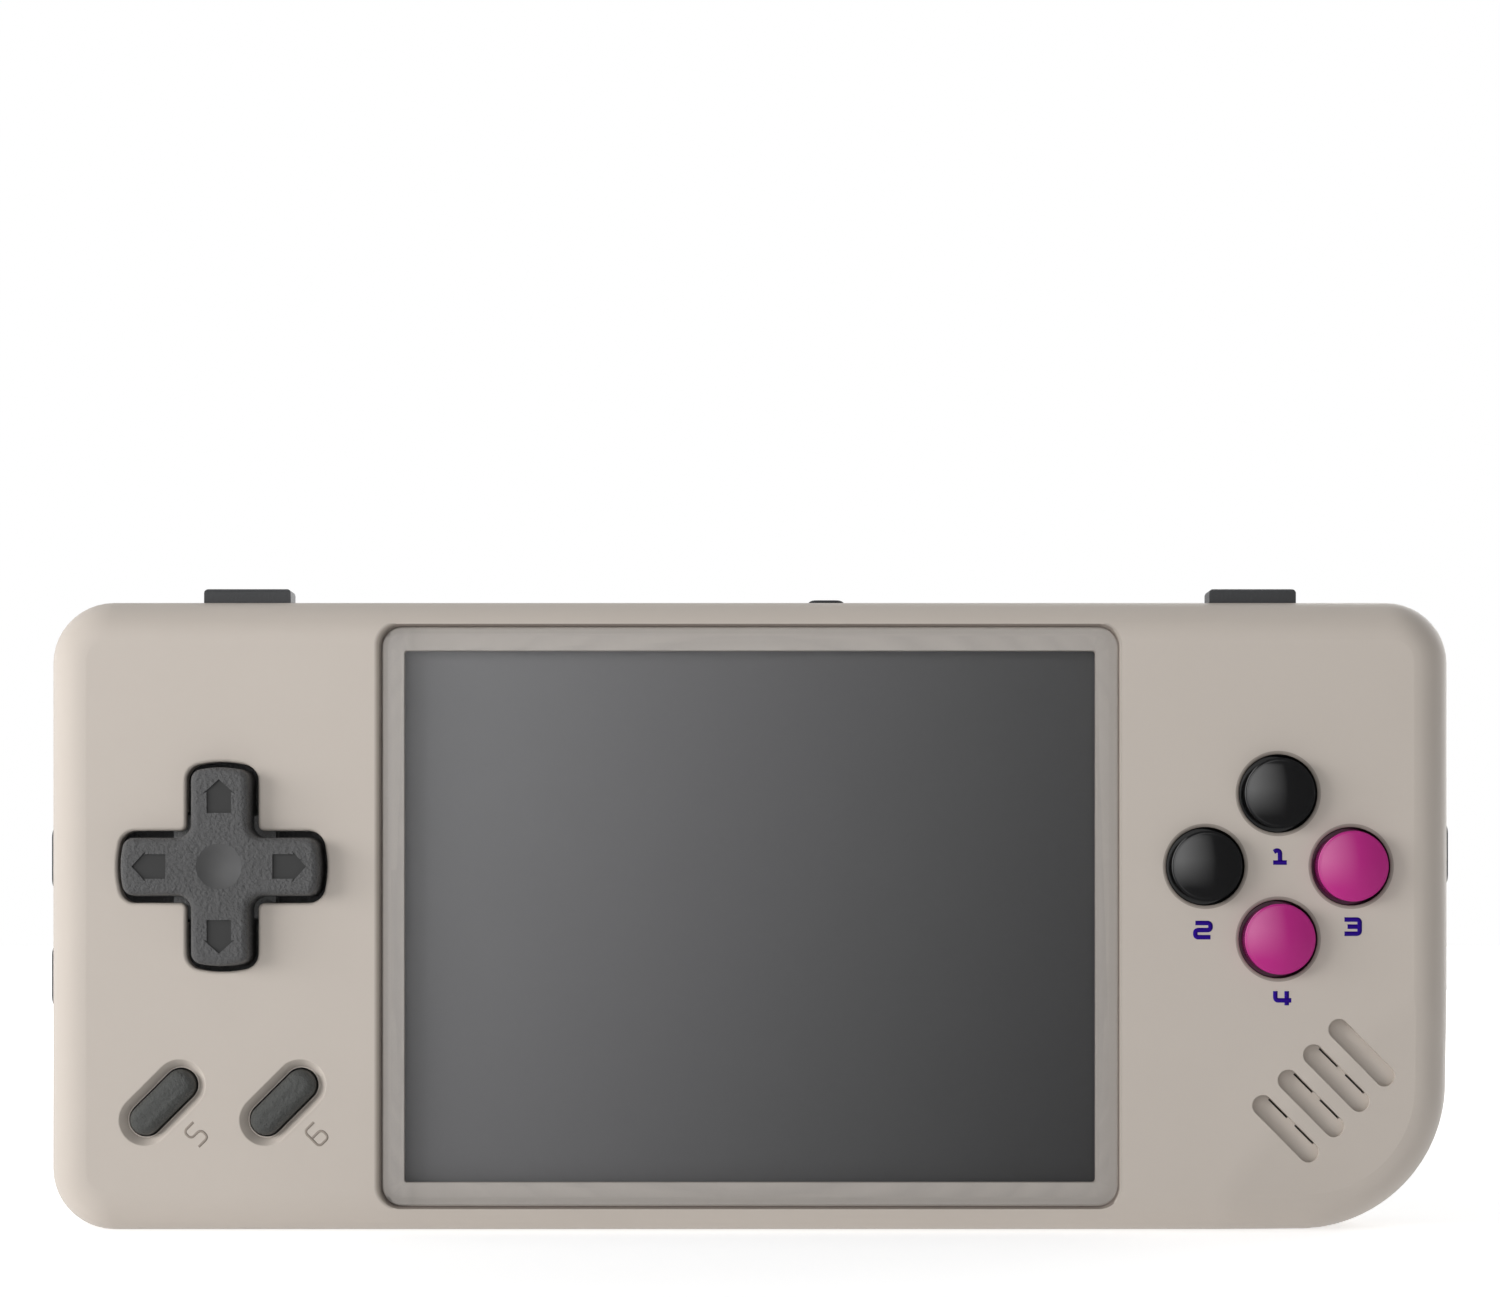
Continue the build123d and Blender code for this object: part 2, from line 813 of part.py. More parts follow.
def side_switch_x():
    return side_x - board_inset - plunger_length


# Battery
def battery_spot():
    return Pos(0, battery_bottom + battery_height / 2)


def battery():
    sheet = battery_spot() * rounded(battery_width, battery_height, battery_corner_radius)
    back = cavity_back - tape_thickness
    cell = slab(sheet, back - battery_thickness, back)
    long_edges = cell.edges().filter_by(Axis.Z)
    return fillet(long_edges, battery_corner_radius)


def battery_tape():
    strip = Rectangle(tape_width, battery_height - tape_width)
    spots = [battery_spot() * Pos(side * tape_spread, 0) for side in (-1, 1)]
    strips = [slab(spot * strip, cavity_back - tape_thickness, cavity_back) for spot in spots]
    return Compound(children=strips)


def battery_plug():
    sheet = Pos(header_x, header_z) * Rectangle(header_width, header_height)
    front = board_back + header_thickness
    return slab(sheet, front, front + plug_thickness)


def battery_leads():
    plug_back = board_back + header_thickness + plug_thickness
    leads = []
    for side in (-1, 1):
        z = header_z + side * lead_spacing / 2
        start = (battery_width / 2, depth_y(lead_depth), z)
        bend = (header_x, depth_y(lead_depth), z)
        end = (header_x, depth_y(plug_back), z)
        path = FilletPolyline(start, bend, end, radius=lead_bend_radius)
        leads.append(sweep(Plane(origin=start, z_dir=(1, 0, 0)) * Circle(lead_radius), path=path))
    return Compound(children=leads)


# Direction pad, its ball pivot and its membrane
def skirt_front():
    return front_wall + pad_skirt_gap


def pad_arrow(turn):
    tip, back = arrow_reach, arrow_reach - arrow_length
    neck = tip - arrow_head_length
    half_head, half_shaft = arrow_head_width / 2, arrow_shaft_width / 2
    right = [(half_head, neck), (half_shaft, neck + arrow_barb_drop), (half_shaft, back)]
    left = [(-x, z) for x, z in reversed(right)]
    sheet = make_face(Polyline((0, tip), *right, *left, close=True))
    return Pos(pad_x, pad_z) * Rot(0, 0, turn) * sheet


def d_pad():
    collar_front = pad_wall + pad_collar_gap
    base = cross_outline(pad_reach, pad_arm_width, pad_tip_radius, pad_inner_radius)
    plane = Plane(origin=(0, depth_y(collar_front), 0), x_dir=(1, 0, 0), z_dir=(0, -1, 0))
    cap = extrude(plane * base, amount=collar_front + pad_proud, taper=pad_draft)
    cap = fillet(edges_at_depth(cap, -pad_proud, pad_x, pad_z, case_width), pad_edge_radius)
    skirt_back = skirt_front() + pad_skirt_thickness
    collar = Pos(pad_x, pad_z) * Rectangle(pad_collar_width, pad_collar_width)
    skirt_reach, skirt_width = pad_reach + pad_skirt_margin, pad_arm_width + 2 * pad_skirt_side_margin
    skirt = cross_outline(skirt_reach, skirt_width, pad_tip_radius, pad_inner_radius)
    pad = cap + slab(collar, collar_front, skirt_back) + slab(base, collar_front, skirt_back)
    pad += slab(skirt, skirt_front(), skirt_back)
    pad += slab(Pos(pad_x, pad_z) * Circle(pad_boss_radius), collar_front, pivot_depth)
    for turn in (0, 90, 180, 270):
        pad -= slab(pad_arrow(turn), -pad_proud - overrun, arrow_sink - pad_proud)
    bowl_radius = (dimple_radius**2 + dimple_sink**2) / (2 * dimple_sink)
    bowl_y = depth_y(dimple_sink - pad_proud) - bowl_radius
    pad -= Pos(pad_x, bowl_y, pad_z) * Sphere(bowl_radius)
    return pad - pivot_at() * Sphere(pivot_ball_radius + pivot_gap)


def pivot_at():
    return Pos(pad_x, depth_y(pivot_depth), pad_z)


def d_pad_pivot():
    foot = pivot_at() * Sphere(pivot_height - pivot_gap)
    neck = slab(Pos(pad_x, pad_z) * Circle(pivot_neck_radius), pivot_depth, board_depth)
    return pivot_at() * Sphere(pivot_ball_radius) + (foot & neck)


def dome(x, z, base_radius, top_radius, top_depth):
    height = board_depth - membrane_thickness - top_depth
    cone = Cone(base_radius, top_radius, height, align=(Align.CENTER, Align.CENTER, Align.MIN))
    return Pos(x, depth_y(board_depth - membrane_thickness), z) * Rot(quarter_turn, 0, 0) * cone


def membrane(sheet, places, base_radius, top_radius, top_depth):
    mat = slab(sheet, board_depth - membrane_thickness, board_depth)
    for x, z in places:
        mat += dome(x, z, base_radius, top_radius, top_depth)
    return mat


def d_pad_membrane():
    steps = (-pad_dome_offset, pad_dome_offset)
    places = [(pad_x + step, pad_z) for step in steps] + [(pad_x, pad_z + step) for step in steps]
    sheet = Pos(pad_x, pad_z) * Circle(pad_dome_offset + pad_dome_base_radius + pad_membrane_margin)
    top = skirt_front() + pad_skirt_thickness + contact_gap
    mat = membrane(sheet, places, pad_dome_base_radius, pad_dome_top_radius, top)
    hole = Pos(pad_x, pad_z) * Circle(pivot_ball_radius + pivot_neck_radius)
    return mat - slab(hole, 0, case_depth)


# Face buttons
def face_button(place):
    x, z = place
    flange_front = front_wall + seat_gap
    flange_back = flange_front + button_flange_thickness
    rim = button_radius - button_edge_radius
    dome_radius = (rim**2 + button_dome_height**2) / (2 * button_dome_height)
    cap = slab(Pos(x, z) * Circle(button_radius), -button_rim_proud - button_dome_height, flange_back)
    dome_y = depth_y(-button_rim_proud - button_dome_height) + dome_radius
    cap &= Pos(x, dome_y, z) * Sphere(dome_radius)
    crown = Pos(x, depth_y(flange_back), z) * Rot(quarter_turn, 0, 0)
    standing = (Align.CENTER, Align.CENTER, Align.MIN)
    post = Cylinder(button_radius, button_rim_proud + flange_back, align=standing)
    rim_edge = post.edges().filter_by(GeomType.CIRCLE).sort_by(Axis.Z)[-1]
    button = crown * fillet(rim_edge, button_edge_radius) + cap
    flange_radius = button_radius + button_flange_margin
    flange = Circle(flange_radius) + Rectangle(2 * (flange_radius + button_lug_length), button_lug_width)
    button += slab(Pos(x, z) * flange, flange_front, flange_back)
    stem = Pos(x, z) * Circle(button_stem_radius)
    return button + slab(stem, flange_back, flange_back + button_stem_length)


def face_membrane():
    places = list(button_places().values())
    radius = dome_base_radius + membrane_margin
    sheet = Pos(cluster_x, cluster_z) * Circle(radius)
    for x, z in places:
        sheet += Pos(x, z) * Circle(radius)
    top = front_wall + seat_gap + button_flange_thickness + button_stem_length + contact_gap
    return membrane(sheet, places, dome_base_radius, dome_top_radius, top)


# Pill buttons
def option_button(place):
    flange_front = front_wall + seat_gap
    flange_back = flange_front + pill_flange_thickness
    pill = slab(pill_outline(place, 0), -pill_proud, flange_back)
    pill = fillet(edges_at_depth(pill, -pill_proud, *place, pill_length), pill_edge_radius)
    pill += slab(pill_outline(place, pill_flange_margin), flange_front, flange_back)
    stem = Pos(*place) * SlotOverall(pill_stem_height, pill_stem_width, rotation=pill_slant)
    return pill + slab(stem, flange_back, flange_back + pill_stem_length)


def option_membrane():
    left, right = pill_places()
    mid = ((left[0] + right[0]) / 2, (left[1] + right[1]) / 2)
    length = right[0] - left[0] + 2 * (dome_base_radius + membrane_margin)
    sheet = Pos(*mid) * SlotOverall(length, 2 * (dome_base_radius + membrane_margin))
    top = front_wall + seat_gap + pill_flange_thickness + pill_stem_length + contact_gap
    return membrane(sheet, [left, right], dome_base_radius, dome_top_radius, top)


# Buttons in the edges
def flange_top():
    return inner_top - seat_gap


def shoulder_button(x, width, start):
    top = case_height + shoulder_proud
    cap = edge_slab(shoulder_outline(x, width, start, 0), flange_top() - shoulder_flange_thickness, top)
    upper = [e for e in cap.edges() if e.center().Z > case_height]
    cap = fillet(upper, shoulder_edge_radius)
    sheet = shoulder_outline(x, width + 2 * shoulder_flange_margin, start, 0)
    cap += edge_slab(sheet, flange_top() - shoulder_flange_thickness, flange_top())
    front = start < seam_depth
    thickness = switch_thickness if front else tall_switch_thickness
    stem_depth = (board_depth - switch_thickness if front else board_back) + thickness / 2
    tip = switch_top() + plunger_length + shoulder_travel + contact_gap
    stem = Pos(x, depth_y(stem_depth)) * Rectangle(shoulder_stem_width, shoulder_stem_depth)
    foot = edge_slab(stem, tip, flange_top() - shoulder_flange_thickness)
    bridge_mid = (stem_depth + start + shoulder_depth / 2) / 2
    bridge_depth = abs(stem_depth - start - shoulder_depth / 2) + shoulder_stem_depth
    bridge = Pos(x, depth_y(bridge_mid)) * Rectangle(shoulder_stem_width, bridge_depth)
    return cap + foot + edge_slab(bridge, flange_top() - shoulder_flange_thickness, flange_top())


def menu_button():
    top = case_height + menu_proud
    foot = flange_top() - edge_flange_thickness
    cap = edge_slab(menu_outline(0), foot, top)
    upper = [e for e in cap.edges() if e.center().Z > case_height]
    cap = fillet(upper, menu_proud - tolerance)
    cap += edge_slab(menu_outline(edge_flange_margin), foot, flange_top())
    tip = switch_top() + plunger_length + edge_travel + contact_gap
    stem = Pos(menu_x, depth_y(board_back + switch_thickness / 2)) * Circle(edge_stem_radius)
    return cap + edge_slab(stem, tip, foot)


def side_button(name):
    z = side_button_zs[name]
    outer = side_x + side_button_proud
    flange_out = inner_side - seat_gap
    flange_in = flange_out - edge_flange_thickness
    cap = side_slab(side_outline(z, 0), flange_in, outer)
    rim = [e for e in cap.edges() if e.center().X > outer - tolerance]
    cap = fillet(rim, side_button_edge_radius)
    cap += side_slab(side_outline(z, edge_flange_margin), flange_in, flange_out)
    tip = side_switch_x() + plunger_length + edge_travel + contact_gap
    stem = Pos(depth_y(board_back + switch_thickness / 2), z) * Circle(edge_stem_radius)
    button = cap + side_slab(stem, tip, flange_in)
    return button if side_of(name) > 0 else mirror(button, Plane.YZ)


# Speaker
def speaker():
    spot = Pos(*speaker_place())
    front = speaker_seat_depth + speaker_gasket_thickness
    back = front + speaker_basket_thickness
    unit = slab(spot * Circle(speaker_radius), front, back)
    magnet_back = back + speaker_magnet_thickness
    unit += slab(spot * Circle(speaker_magnet_radius), front, magnet_back)
    x, z = speaker_place()
    hung = (Align.CENTER, Align.CENTER, Align.MAX)
    bowl = Cone(speaker_cone_radius, speaker_opening_radius, speaker_cone_sink, align=hung)
    unit -= Pos(x, depth_y(front), z) * Rot(quarter_turn, 0, 0) * bowl
    contact = Rectangle(speaker_contact_width, speaker_contact_width)
    for side in (-1, 1):
        pad = spot * Pos(side * speaker_contact_spread, 0) * contact
        unit += slab(pad, back, board_depth - seat_gap)
    return unit


def speaker_gasket():
    spot = Pos(*speaker_place())
    ring = spot * Circle(speaker_radius) - spot * Circle(speaker_opening_radius)
    return slab(ring, speaker_seat_depth, speaker_seat_depth + speaker_gasket_thickness)


# Sockets
def flat_socket(x, width, thickness, length, tongue_width, z_mouth, inward):
    z_end = z_mouth + inward * length
    shell = edge_slab(socket_outline(x, width, thickness, 0), min(z_mouth, z_end), max(z_mouth, z_end))
    z_floor = z_end - inward * overrun
    z_open = z_mouth - inward * overrun
    mouth = edge_slab(
        socket_outline(x, width, thickness, -socket_wall), min(z_floor, z_open), max(z_floor, z_open)
    )
    z_tip = z_mouth + inward * socket_wall
    spot = Pos(x, depth_y(board_back + thickness / 2))
    tongue = spot * Rectangle(tongue_width, socket_tongue_thickness)
    return shell - mouth + edge_slab(tongue, min(z_tip, z_end), max(z_tip, z_end))


def usb_socket():
    sizes = (usb_width, usb_thickness, usb_length, usb_tongue_width)
    return flat_socket(usb_x, *sizes, port_sink, 1)


def video_socket():
    mouth = case_height - port_sink
    sizes = (video_width, video_thickness, video_length, video_tongue_width)
    return flat_socket(video_x, *sizes, mouth, -1)


def headphone_jack():
    spot = Pos(jack_x, jack_y())
    foot = side_wall + seat_gap
    body = edge_slab(spot * Rectangle(jack_width, jack_thickness), foot, port_sink + jack_length)
    body += edge_slab(spot * Circle(jack_barrel_radius), port_sink, foot + overrun)
    bore = edge_slab(spot * Circle(jack_bore_radius), port_sink - overrun, port_sink + jack_bore_length)
    return body - bore


def card_slot(x):
    spot = Pos(x, card_y())
    z_from = side_wall + seat_gap
    z_to = z_from + card_slot_length
    cage = edge_slab(spot * Rectangle(card_slot_width, card_slot_thickness), z_from, z_to)
    mouth = Rectangle(card_mouth_width, card_mouth_thickness)
    return cage - edge_slab(spot * mouth, z_from - overrun, z_to - socket_wall)


# Screws
def screw(place, seat_depth, length, radius, head_radius, head_height):
    x, z = place
    shank = slab(Pos(x, z) * Circle(radius), seat_depth - length, seat_depth)
    head = slab(Pos(x, z) * Circle(head_radius), seat_depth, seat_depth + head_height)
    rim = edges_at_depth(head, seat_depth + head_height, x, z, head_radius)
    head = fillet(rim, head_height * screw_head_round_share)
    drive = Rectangle(screw_slot_length, screw_slot_width)
    drive += Rectangle(screw_slot_width, screw_slot_length)
    top = seat_depth + head_height
    return shank + head - slab(Pos(x, z) * drive, top - screw_slot_sink, top + overrun)


def case_screws():
    seat = case_depth - screw_recess_depth
    length = seat - seam_depth + screw_bite
    sizes = (seat, length, screw_radius, screw_head_radius, screw_head_height)
    return Compound(children=[screw(place, *sizes) for place in case_screw_places()])


def board_screws():
    length = board_thickness + board_screw_bite
    sizes = (board_back, length, board_screw_radius, board_screw_head_radius, board_screw_head_height)
    return Compound(children=[screw(place, *sizes) for place in board_screw_places()])


nodes = {
    "front_shell": front_shell(),
    "rear_shell": rear_shell(),
    "screen_lens": screen_lens(),
    "lens_adhesive": lens_adhesive(),
    "screen_gasket": screen_gasket(),
    "lcd_panel": lcd_panel(),
    "lcd_tray": lcd_tray(),
    "lcd_flex": lcd_flex(),
    "main_board": main_board(),
    "shield_can": shield_can(),
    "board_chips": board_chips(),
    "board_connectors": board_connectors(),
    "edge_switches": edge_switches(),
    "battery": battery(),
    "battery_tape": battery_tape(),
    "battery_plug": battery_plug(),
    "battery_leads": battery_leads(),
    "d_pad": d_pad(),
    "d_pad_pivot": d_pad_pivot(),
    "d_pad_membrane": d_pad_membrane(),
    "face_button_membrane": face_membrane(),
    "option_button_left": option_button(pill_places()[0]),
    "option_button_right": option_button(pill_places()[1]),
    "option_membrane": option_membrane(),
    "menu_button": menu_button(),
    "speaker": speaker(),
    "speaker_gasket": speaker_gasket(),
    "usb_socket": usb_socket(),
    "video_socket": video_socket(),
    "headphone_jack": headphone_jack(),
    "case_screws": case_screws(),
    "board_screws": board_screws(),
}
nodes |= {name: face_button(place) for name, place in button_places().items()}
nodes |= {name: shoulder_button(*place) for name, place in shoulder_places().items()}
nodes |= {name: side_button(name) for name in side_button_zs}
nodes |= {name: card_slot(x) for name, x in card_xs.items()}

for name, solid in nodes.items():
    export_step(solid, f"parts/{name}.step")
print(len(nodes), "nodes written")
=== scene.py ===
import json
import math

import bmesh
import bpy
from mathutils import Matrix, Vector


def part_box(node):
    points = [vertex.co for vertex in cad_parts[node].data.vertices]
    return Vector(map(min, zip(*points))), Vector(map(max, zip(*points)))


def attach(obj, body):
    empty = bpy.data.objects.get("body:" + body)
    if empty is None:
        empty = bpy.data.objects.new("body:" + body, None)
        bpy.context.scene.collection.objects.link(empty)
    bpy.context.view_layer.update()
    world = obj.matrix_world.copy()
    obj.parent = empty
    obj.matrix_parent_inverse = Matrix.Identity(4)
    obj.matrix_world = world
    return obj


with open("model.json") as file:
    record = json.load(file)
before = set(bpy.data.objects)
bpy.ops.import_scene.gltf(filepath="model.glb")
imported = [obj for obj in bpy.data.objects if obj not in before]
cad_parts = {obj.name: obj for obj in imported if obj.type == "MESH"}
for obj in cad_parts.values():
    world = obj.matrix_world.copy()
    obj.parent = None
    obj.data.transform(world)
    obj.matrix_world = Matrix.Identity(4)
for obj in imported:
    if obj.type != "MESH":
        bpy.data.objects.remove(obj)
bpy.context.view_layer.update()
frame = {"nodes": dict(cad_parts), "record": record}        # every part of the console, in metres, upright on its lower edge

nodes = frame["nodes"]
mm = 0.001
print("loaded", len(nodes), "parts")


def linear(hexColour):
    # sRGB hex to the linear colour that shaders read
    parts = [int(hexColour[i:i + 2], 16) / 255 for i in (1, 3, 5)]
    return [c / 12.92 if c <= 0.04045 else ((c + 0.055) / 1.055) ** 2.4 for c in parts] + [1.0]


def addNode(tree, kind, inputs=None, **settings):
    # an input is a value, a socket, or a node that stands for its first output
    node = tree.nodes.new(kind)
    for name, value in settings.items():
        setattr(node, name, value)
    for key, value in (inputs or {}).items():
        if isinstance(value, bpy.types.Node):
            value = value.outputs[0]
        if isinstance(value, bpy.types.NodeSocket):
            tree.links.new(value, node.inputs[key])
        else:
            node.inputs[key].default_value = value
    return node


def newMaterial(name, inputs):
    material = bpy.data.materials.new(name)
    material.use_nodes = True
    tree = material.node_tree
    tree.nodes.clear()
    shader = addNode(tree, "ShaderNodeBsdfPrincipled", inputs)
    addNode(tree, "ShaderNodeOutputMaterial", {"Surface": shader})
    spot = addNode(tree, "ShaderNodeTexCoord").outputs["Object"]
    return material, tree, shader, spot


def newObject(name, data):
    item = bpy.data.objects.new(name, data)
    bpy.context.scene.collection.objects.link(item)
    return item


grainSoftness = 0.55        # how strongly the finer noise lies over the coarser


def grainOf(tree, spot, width, detail=2.0, stretch=None):
    # noise whose blobs are about this wide, in metres
    if stretch:
        spot = addNode(tree, "ShaderNodeMapping", {"Vector": spot, "Scale": stretch})
    inputs = {"Vector": spot, "Scale": 1 / width, "Detail": detail, "Roughness": grainSoftness}
    return addNode(tree, "ShaderNodeTexNoise", inputs)


def layered(tree, tone, *layers):
    # each layer is a mask and the colour that it brings; 6, 7 and 2 are the colour sockets of a mix
    for mask, hexColour in layers:
        mix = addNode(tree, "ShaderNodeMix", {0: mask, 6: tone, 7: linear(hexColour)}, data_type="RGBA")
        tone = mix.outputs[2]
    return tone


def overlapOf(tree, *masks):
    # 1 where every mask is 1
    shared = masks[0]
    for mask in masks[1:]:
        shared = addNode(tree, "ShaderNodeMath", {0: shared, 1: mask}, operation="MULTIPLY")
    return shared


# What a moulding has unless its own look says more: the mirror of bare plastic, and no coat
plainLook = {"mirror": 0.5, "coat": 0, "coatIor": 1.5, "coatRoughness": 0.05, "grainDetail": 3.0}
lookSockets = {
    "Roughness": "roughness", "IOR": "ior", "Specular IOR Level": "mirror",
    "Coat Weight": "coat", "Coat IOR": "coatIor", "Coat Roughness": "coatRoughness",
}


def moulding(name, ownLook):
    # a moulded part: the tool's texture as fine bumps, and slow, faint changes of tone where the melt
    # flowed; the zones of a part are painted over its tone
    look = plainLook | ownLook
    inputs = {socket: look[key] for socket, key in lookSockets.items()}
    material, tree, shader, spot = newMaterial(name, inputs)
    flow = grainOf(tree, spot, look["flowWidth"])
    tone = layered(tree, linear(look["low"]), (flow, look["high"]))
    tree.links.new(tone, shader.inputs["Base Color"])
    grain = grainOf(tree, spot, look["grainWidth"], look["grainDetail"])
    bump = addNode(tree, "ShaderNodeBump", {"Height": grain, "Distance": look["grainDepth"],
                                            "Strength": 1.0})
    tree.links.new(bump.outputs[0], shader.inputs["Normal"])
    return material, tree, shader, spot, tone, bump


def mouldedPlastic(name, look):
    return moulding(name, look)[0]


# ABS, moulded in a spark-eroded tool: matt, with a very fine even grain. The real grain is too fine
# for the render, so it is drawn as wide as it needs to show.
shellLook = {
    "low": "#bdb4ab", "high": "#c3bab1", "roughness": 0.5, "ior": 1.53,
    "flowWidth": 22 * mm, "grainWidth": 0.16 * mm, "grainDepth": 0.0025 * mm,
}
# Gaps round the pane and the round buttons: painted shade inside them, and a darker lip that is painted
# shade as well. The pane's lip shade is broader at the upper left, where the lip faces away from the light,
# so its outline has a middle of its own.
shellZones = {
    "paneCentre": (0, 0, 31.2 * mm), "paneStraight": (34.4 * mm, 0, 26.65 * mm), "paneCorner": 2.26 * mm,
    "paneDepth": (-7.08 * mm, -5.75 * mm), "paneGapShade": "#7a7068",
    "paneLipCentre": (-0.2 * mm, 0, 31.3 * mm), "paneLip": (2.16 * mm, 2.54 * mm),
    "paneLipEnds": -6.9 * mm, "paneLipShade": "#857c73",
    "buttonMiddle": (52.1 * mm, 36.15 * mm), "buttonOffset": 7.18 * mm,
    "wellRadius": 3.99 * mm, "wellDepth": -7.15 * mm, "wellShade": "#141211",
    "lipRadius": 4.21 * mm, "buttonLipShade": "#968d85", "frontEnds": -3 * mm,
}


def gappedShell():
    material, tree, shader, spot, tone = moulding("matteBeigeAbs", shellLook)[:5]
    zones = shellZones
    depth = addNode(tree, "ShaderNodeSeparateXYZ", {0: spot}).outputs["Y"]
    flat = addNode(tree, "ShaderNodeVectorMath", {0: spot, 1: (1, 0, 1)}, operation="MULTIPLY")

    # how far from the middle of the nearest round button
    x, z = zones["buttonMiddle"]
    step = zones["buttonOffset"]
    near = None
    for place in ((x, 0, z + step), (x - step, 0, z), (x + step, 0, z), (x, 0, z - step)):
        away = addNode(tree, "ShaderNodeVectorMath", {0: flat, 1: place}, operation="DISTANCE")
        away = away.outputs["Value"]
        near = addNode(tree, "ShaderNodeMath", {0: near, 1: away}, operation="MINIMUM") if near else away

    # how far outside the straight-sided middle of the pane, and of its lip, with rounded corners
    straight = zones["paneStraight"]
    reaches = []
    for centre in (zones["paneCentre"], zones["paneLipCentre"]):
        reach = addNode(tree, "ShaderNodeVectorMath", {0: flat, 1: centre}, operation="SUBTRACT")
        reach = addNode(tree, "ShaderNodeVectorMath", {0: reach}, operation="ABSOLUTE")
        reach = addNode(tree, "ShaderNodeVectorMath", {0: reach, 1: straight}, operation="SUBTRACT")
        reach = addNode(tree, "ShaderNodeVectorMath", {0: reach, 1: (0, 0, 0)}, operation="MAXIMUM")
        reach = addNode(tree, "ShaderNodeVectorMath", {0: reach}, operation="LENGTH")
        reaches.append(reach.outputs["Value"])
    fromPane, fromLip = reaches
    full, gone = zones["paneLip"]
    low, high = zones["paneDepth"]

    front = addNode(tree, "ShaderNodeMath", {0: depth, 1: zones["frontEnds"]}, operation="LESS_THAN")
    lip = overlapOf(
        tree, front,
        addNode(tree, "ShaderNodeMath", {0: near, 1: zones["lipRadius"]}, operation="LESS_THAN"),
    )
    paneLip = overlapOf(
        tree,
        addNode(tree, "ShaderNodeMapRange", {"Value": fromLip, "From Min": full, "From Max": gone,
                                             "To Min": 1.0, "To Max": 0.0}),
        addNode(tree, "ShaderNodeMath", {0: depth, 1: zones["paneLipEnds"]}, operation="LESS_THAN"),
    )
    gap = overlapOf(
        tree,
        addNode(tree, "ShaderNodeMath", {0: fromPane, 1: zones["paneCorner"]}, operation="LESS_THAN"),
        addNode(tree, "ShaderNodeMath", {0: depth, 1: (low + high) / 2, 2: (high - low) / 2},
                operation="COMPARE"),
    )
    well = overlapOf(
        tree, front,
        addNode(tree, "ShaderNodeMath", {0: near, 1: zones["wellRadius"]}, operation="LESS_THAN"),
        addNode(tree, "ShaderNodeMath", {0: depth, 1: zones["wellDepth"]}, operation="GREATER_THAN"),
    )
    # painted shade: a darker lip round each round button and round the pane, a darker line in the pane's
    # gap, and near-black wells
    tone = layered(tree, tone, (lip, zones["buttonLipShade"]), (paneLip, zones["paneLipShade"]),
                   (gap, zones["paneGapShade"]), (well, zones["wellShade"]))
    tree.links.new(tone, shader.inputs["Base Color"])
    return material


# ABS with a coarser leather-like tool texture, so that a thumb doesn't slip
padLook = {
    "low": "#515151", "high": "#5a5a5b", "roughness": 0.5, "ior": 1.53,
    "flowWidth": 8 * mm, "grainWidth": 0.36 * mm, "grainDepth": 0.26 * mm,
}
# The dimple and the floors of the pad's arrows are polished in the tool. The arrows' floors are darker,
# partly a darker tone and partly painted shade in the sunk floors; the collar below the opening is painted
# lighter, painted light for light that hardly reaches it deep in the gap. Along the arms and in depth, an
# arrow's floor is its middle and half its length.
padZones = {
    "middle": (-52.06 * mm, 0, 36.1 * mm), "dimpleRadius": 2.2 * mm,
    "arrowAlong": (6.95 * mm, 1.9 * mm), "arrowHalfWidth": 1.7 * mm, "arrowDepth": (-8.98 * mm, 0.14 * mm),
    "arrowToneAndShade": "#353535", "collarReach": 5.2 * mm, "collarDepth": -5.9 * mm, "collarPaintedLight": "#8c8c8c",
}


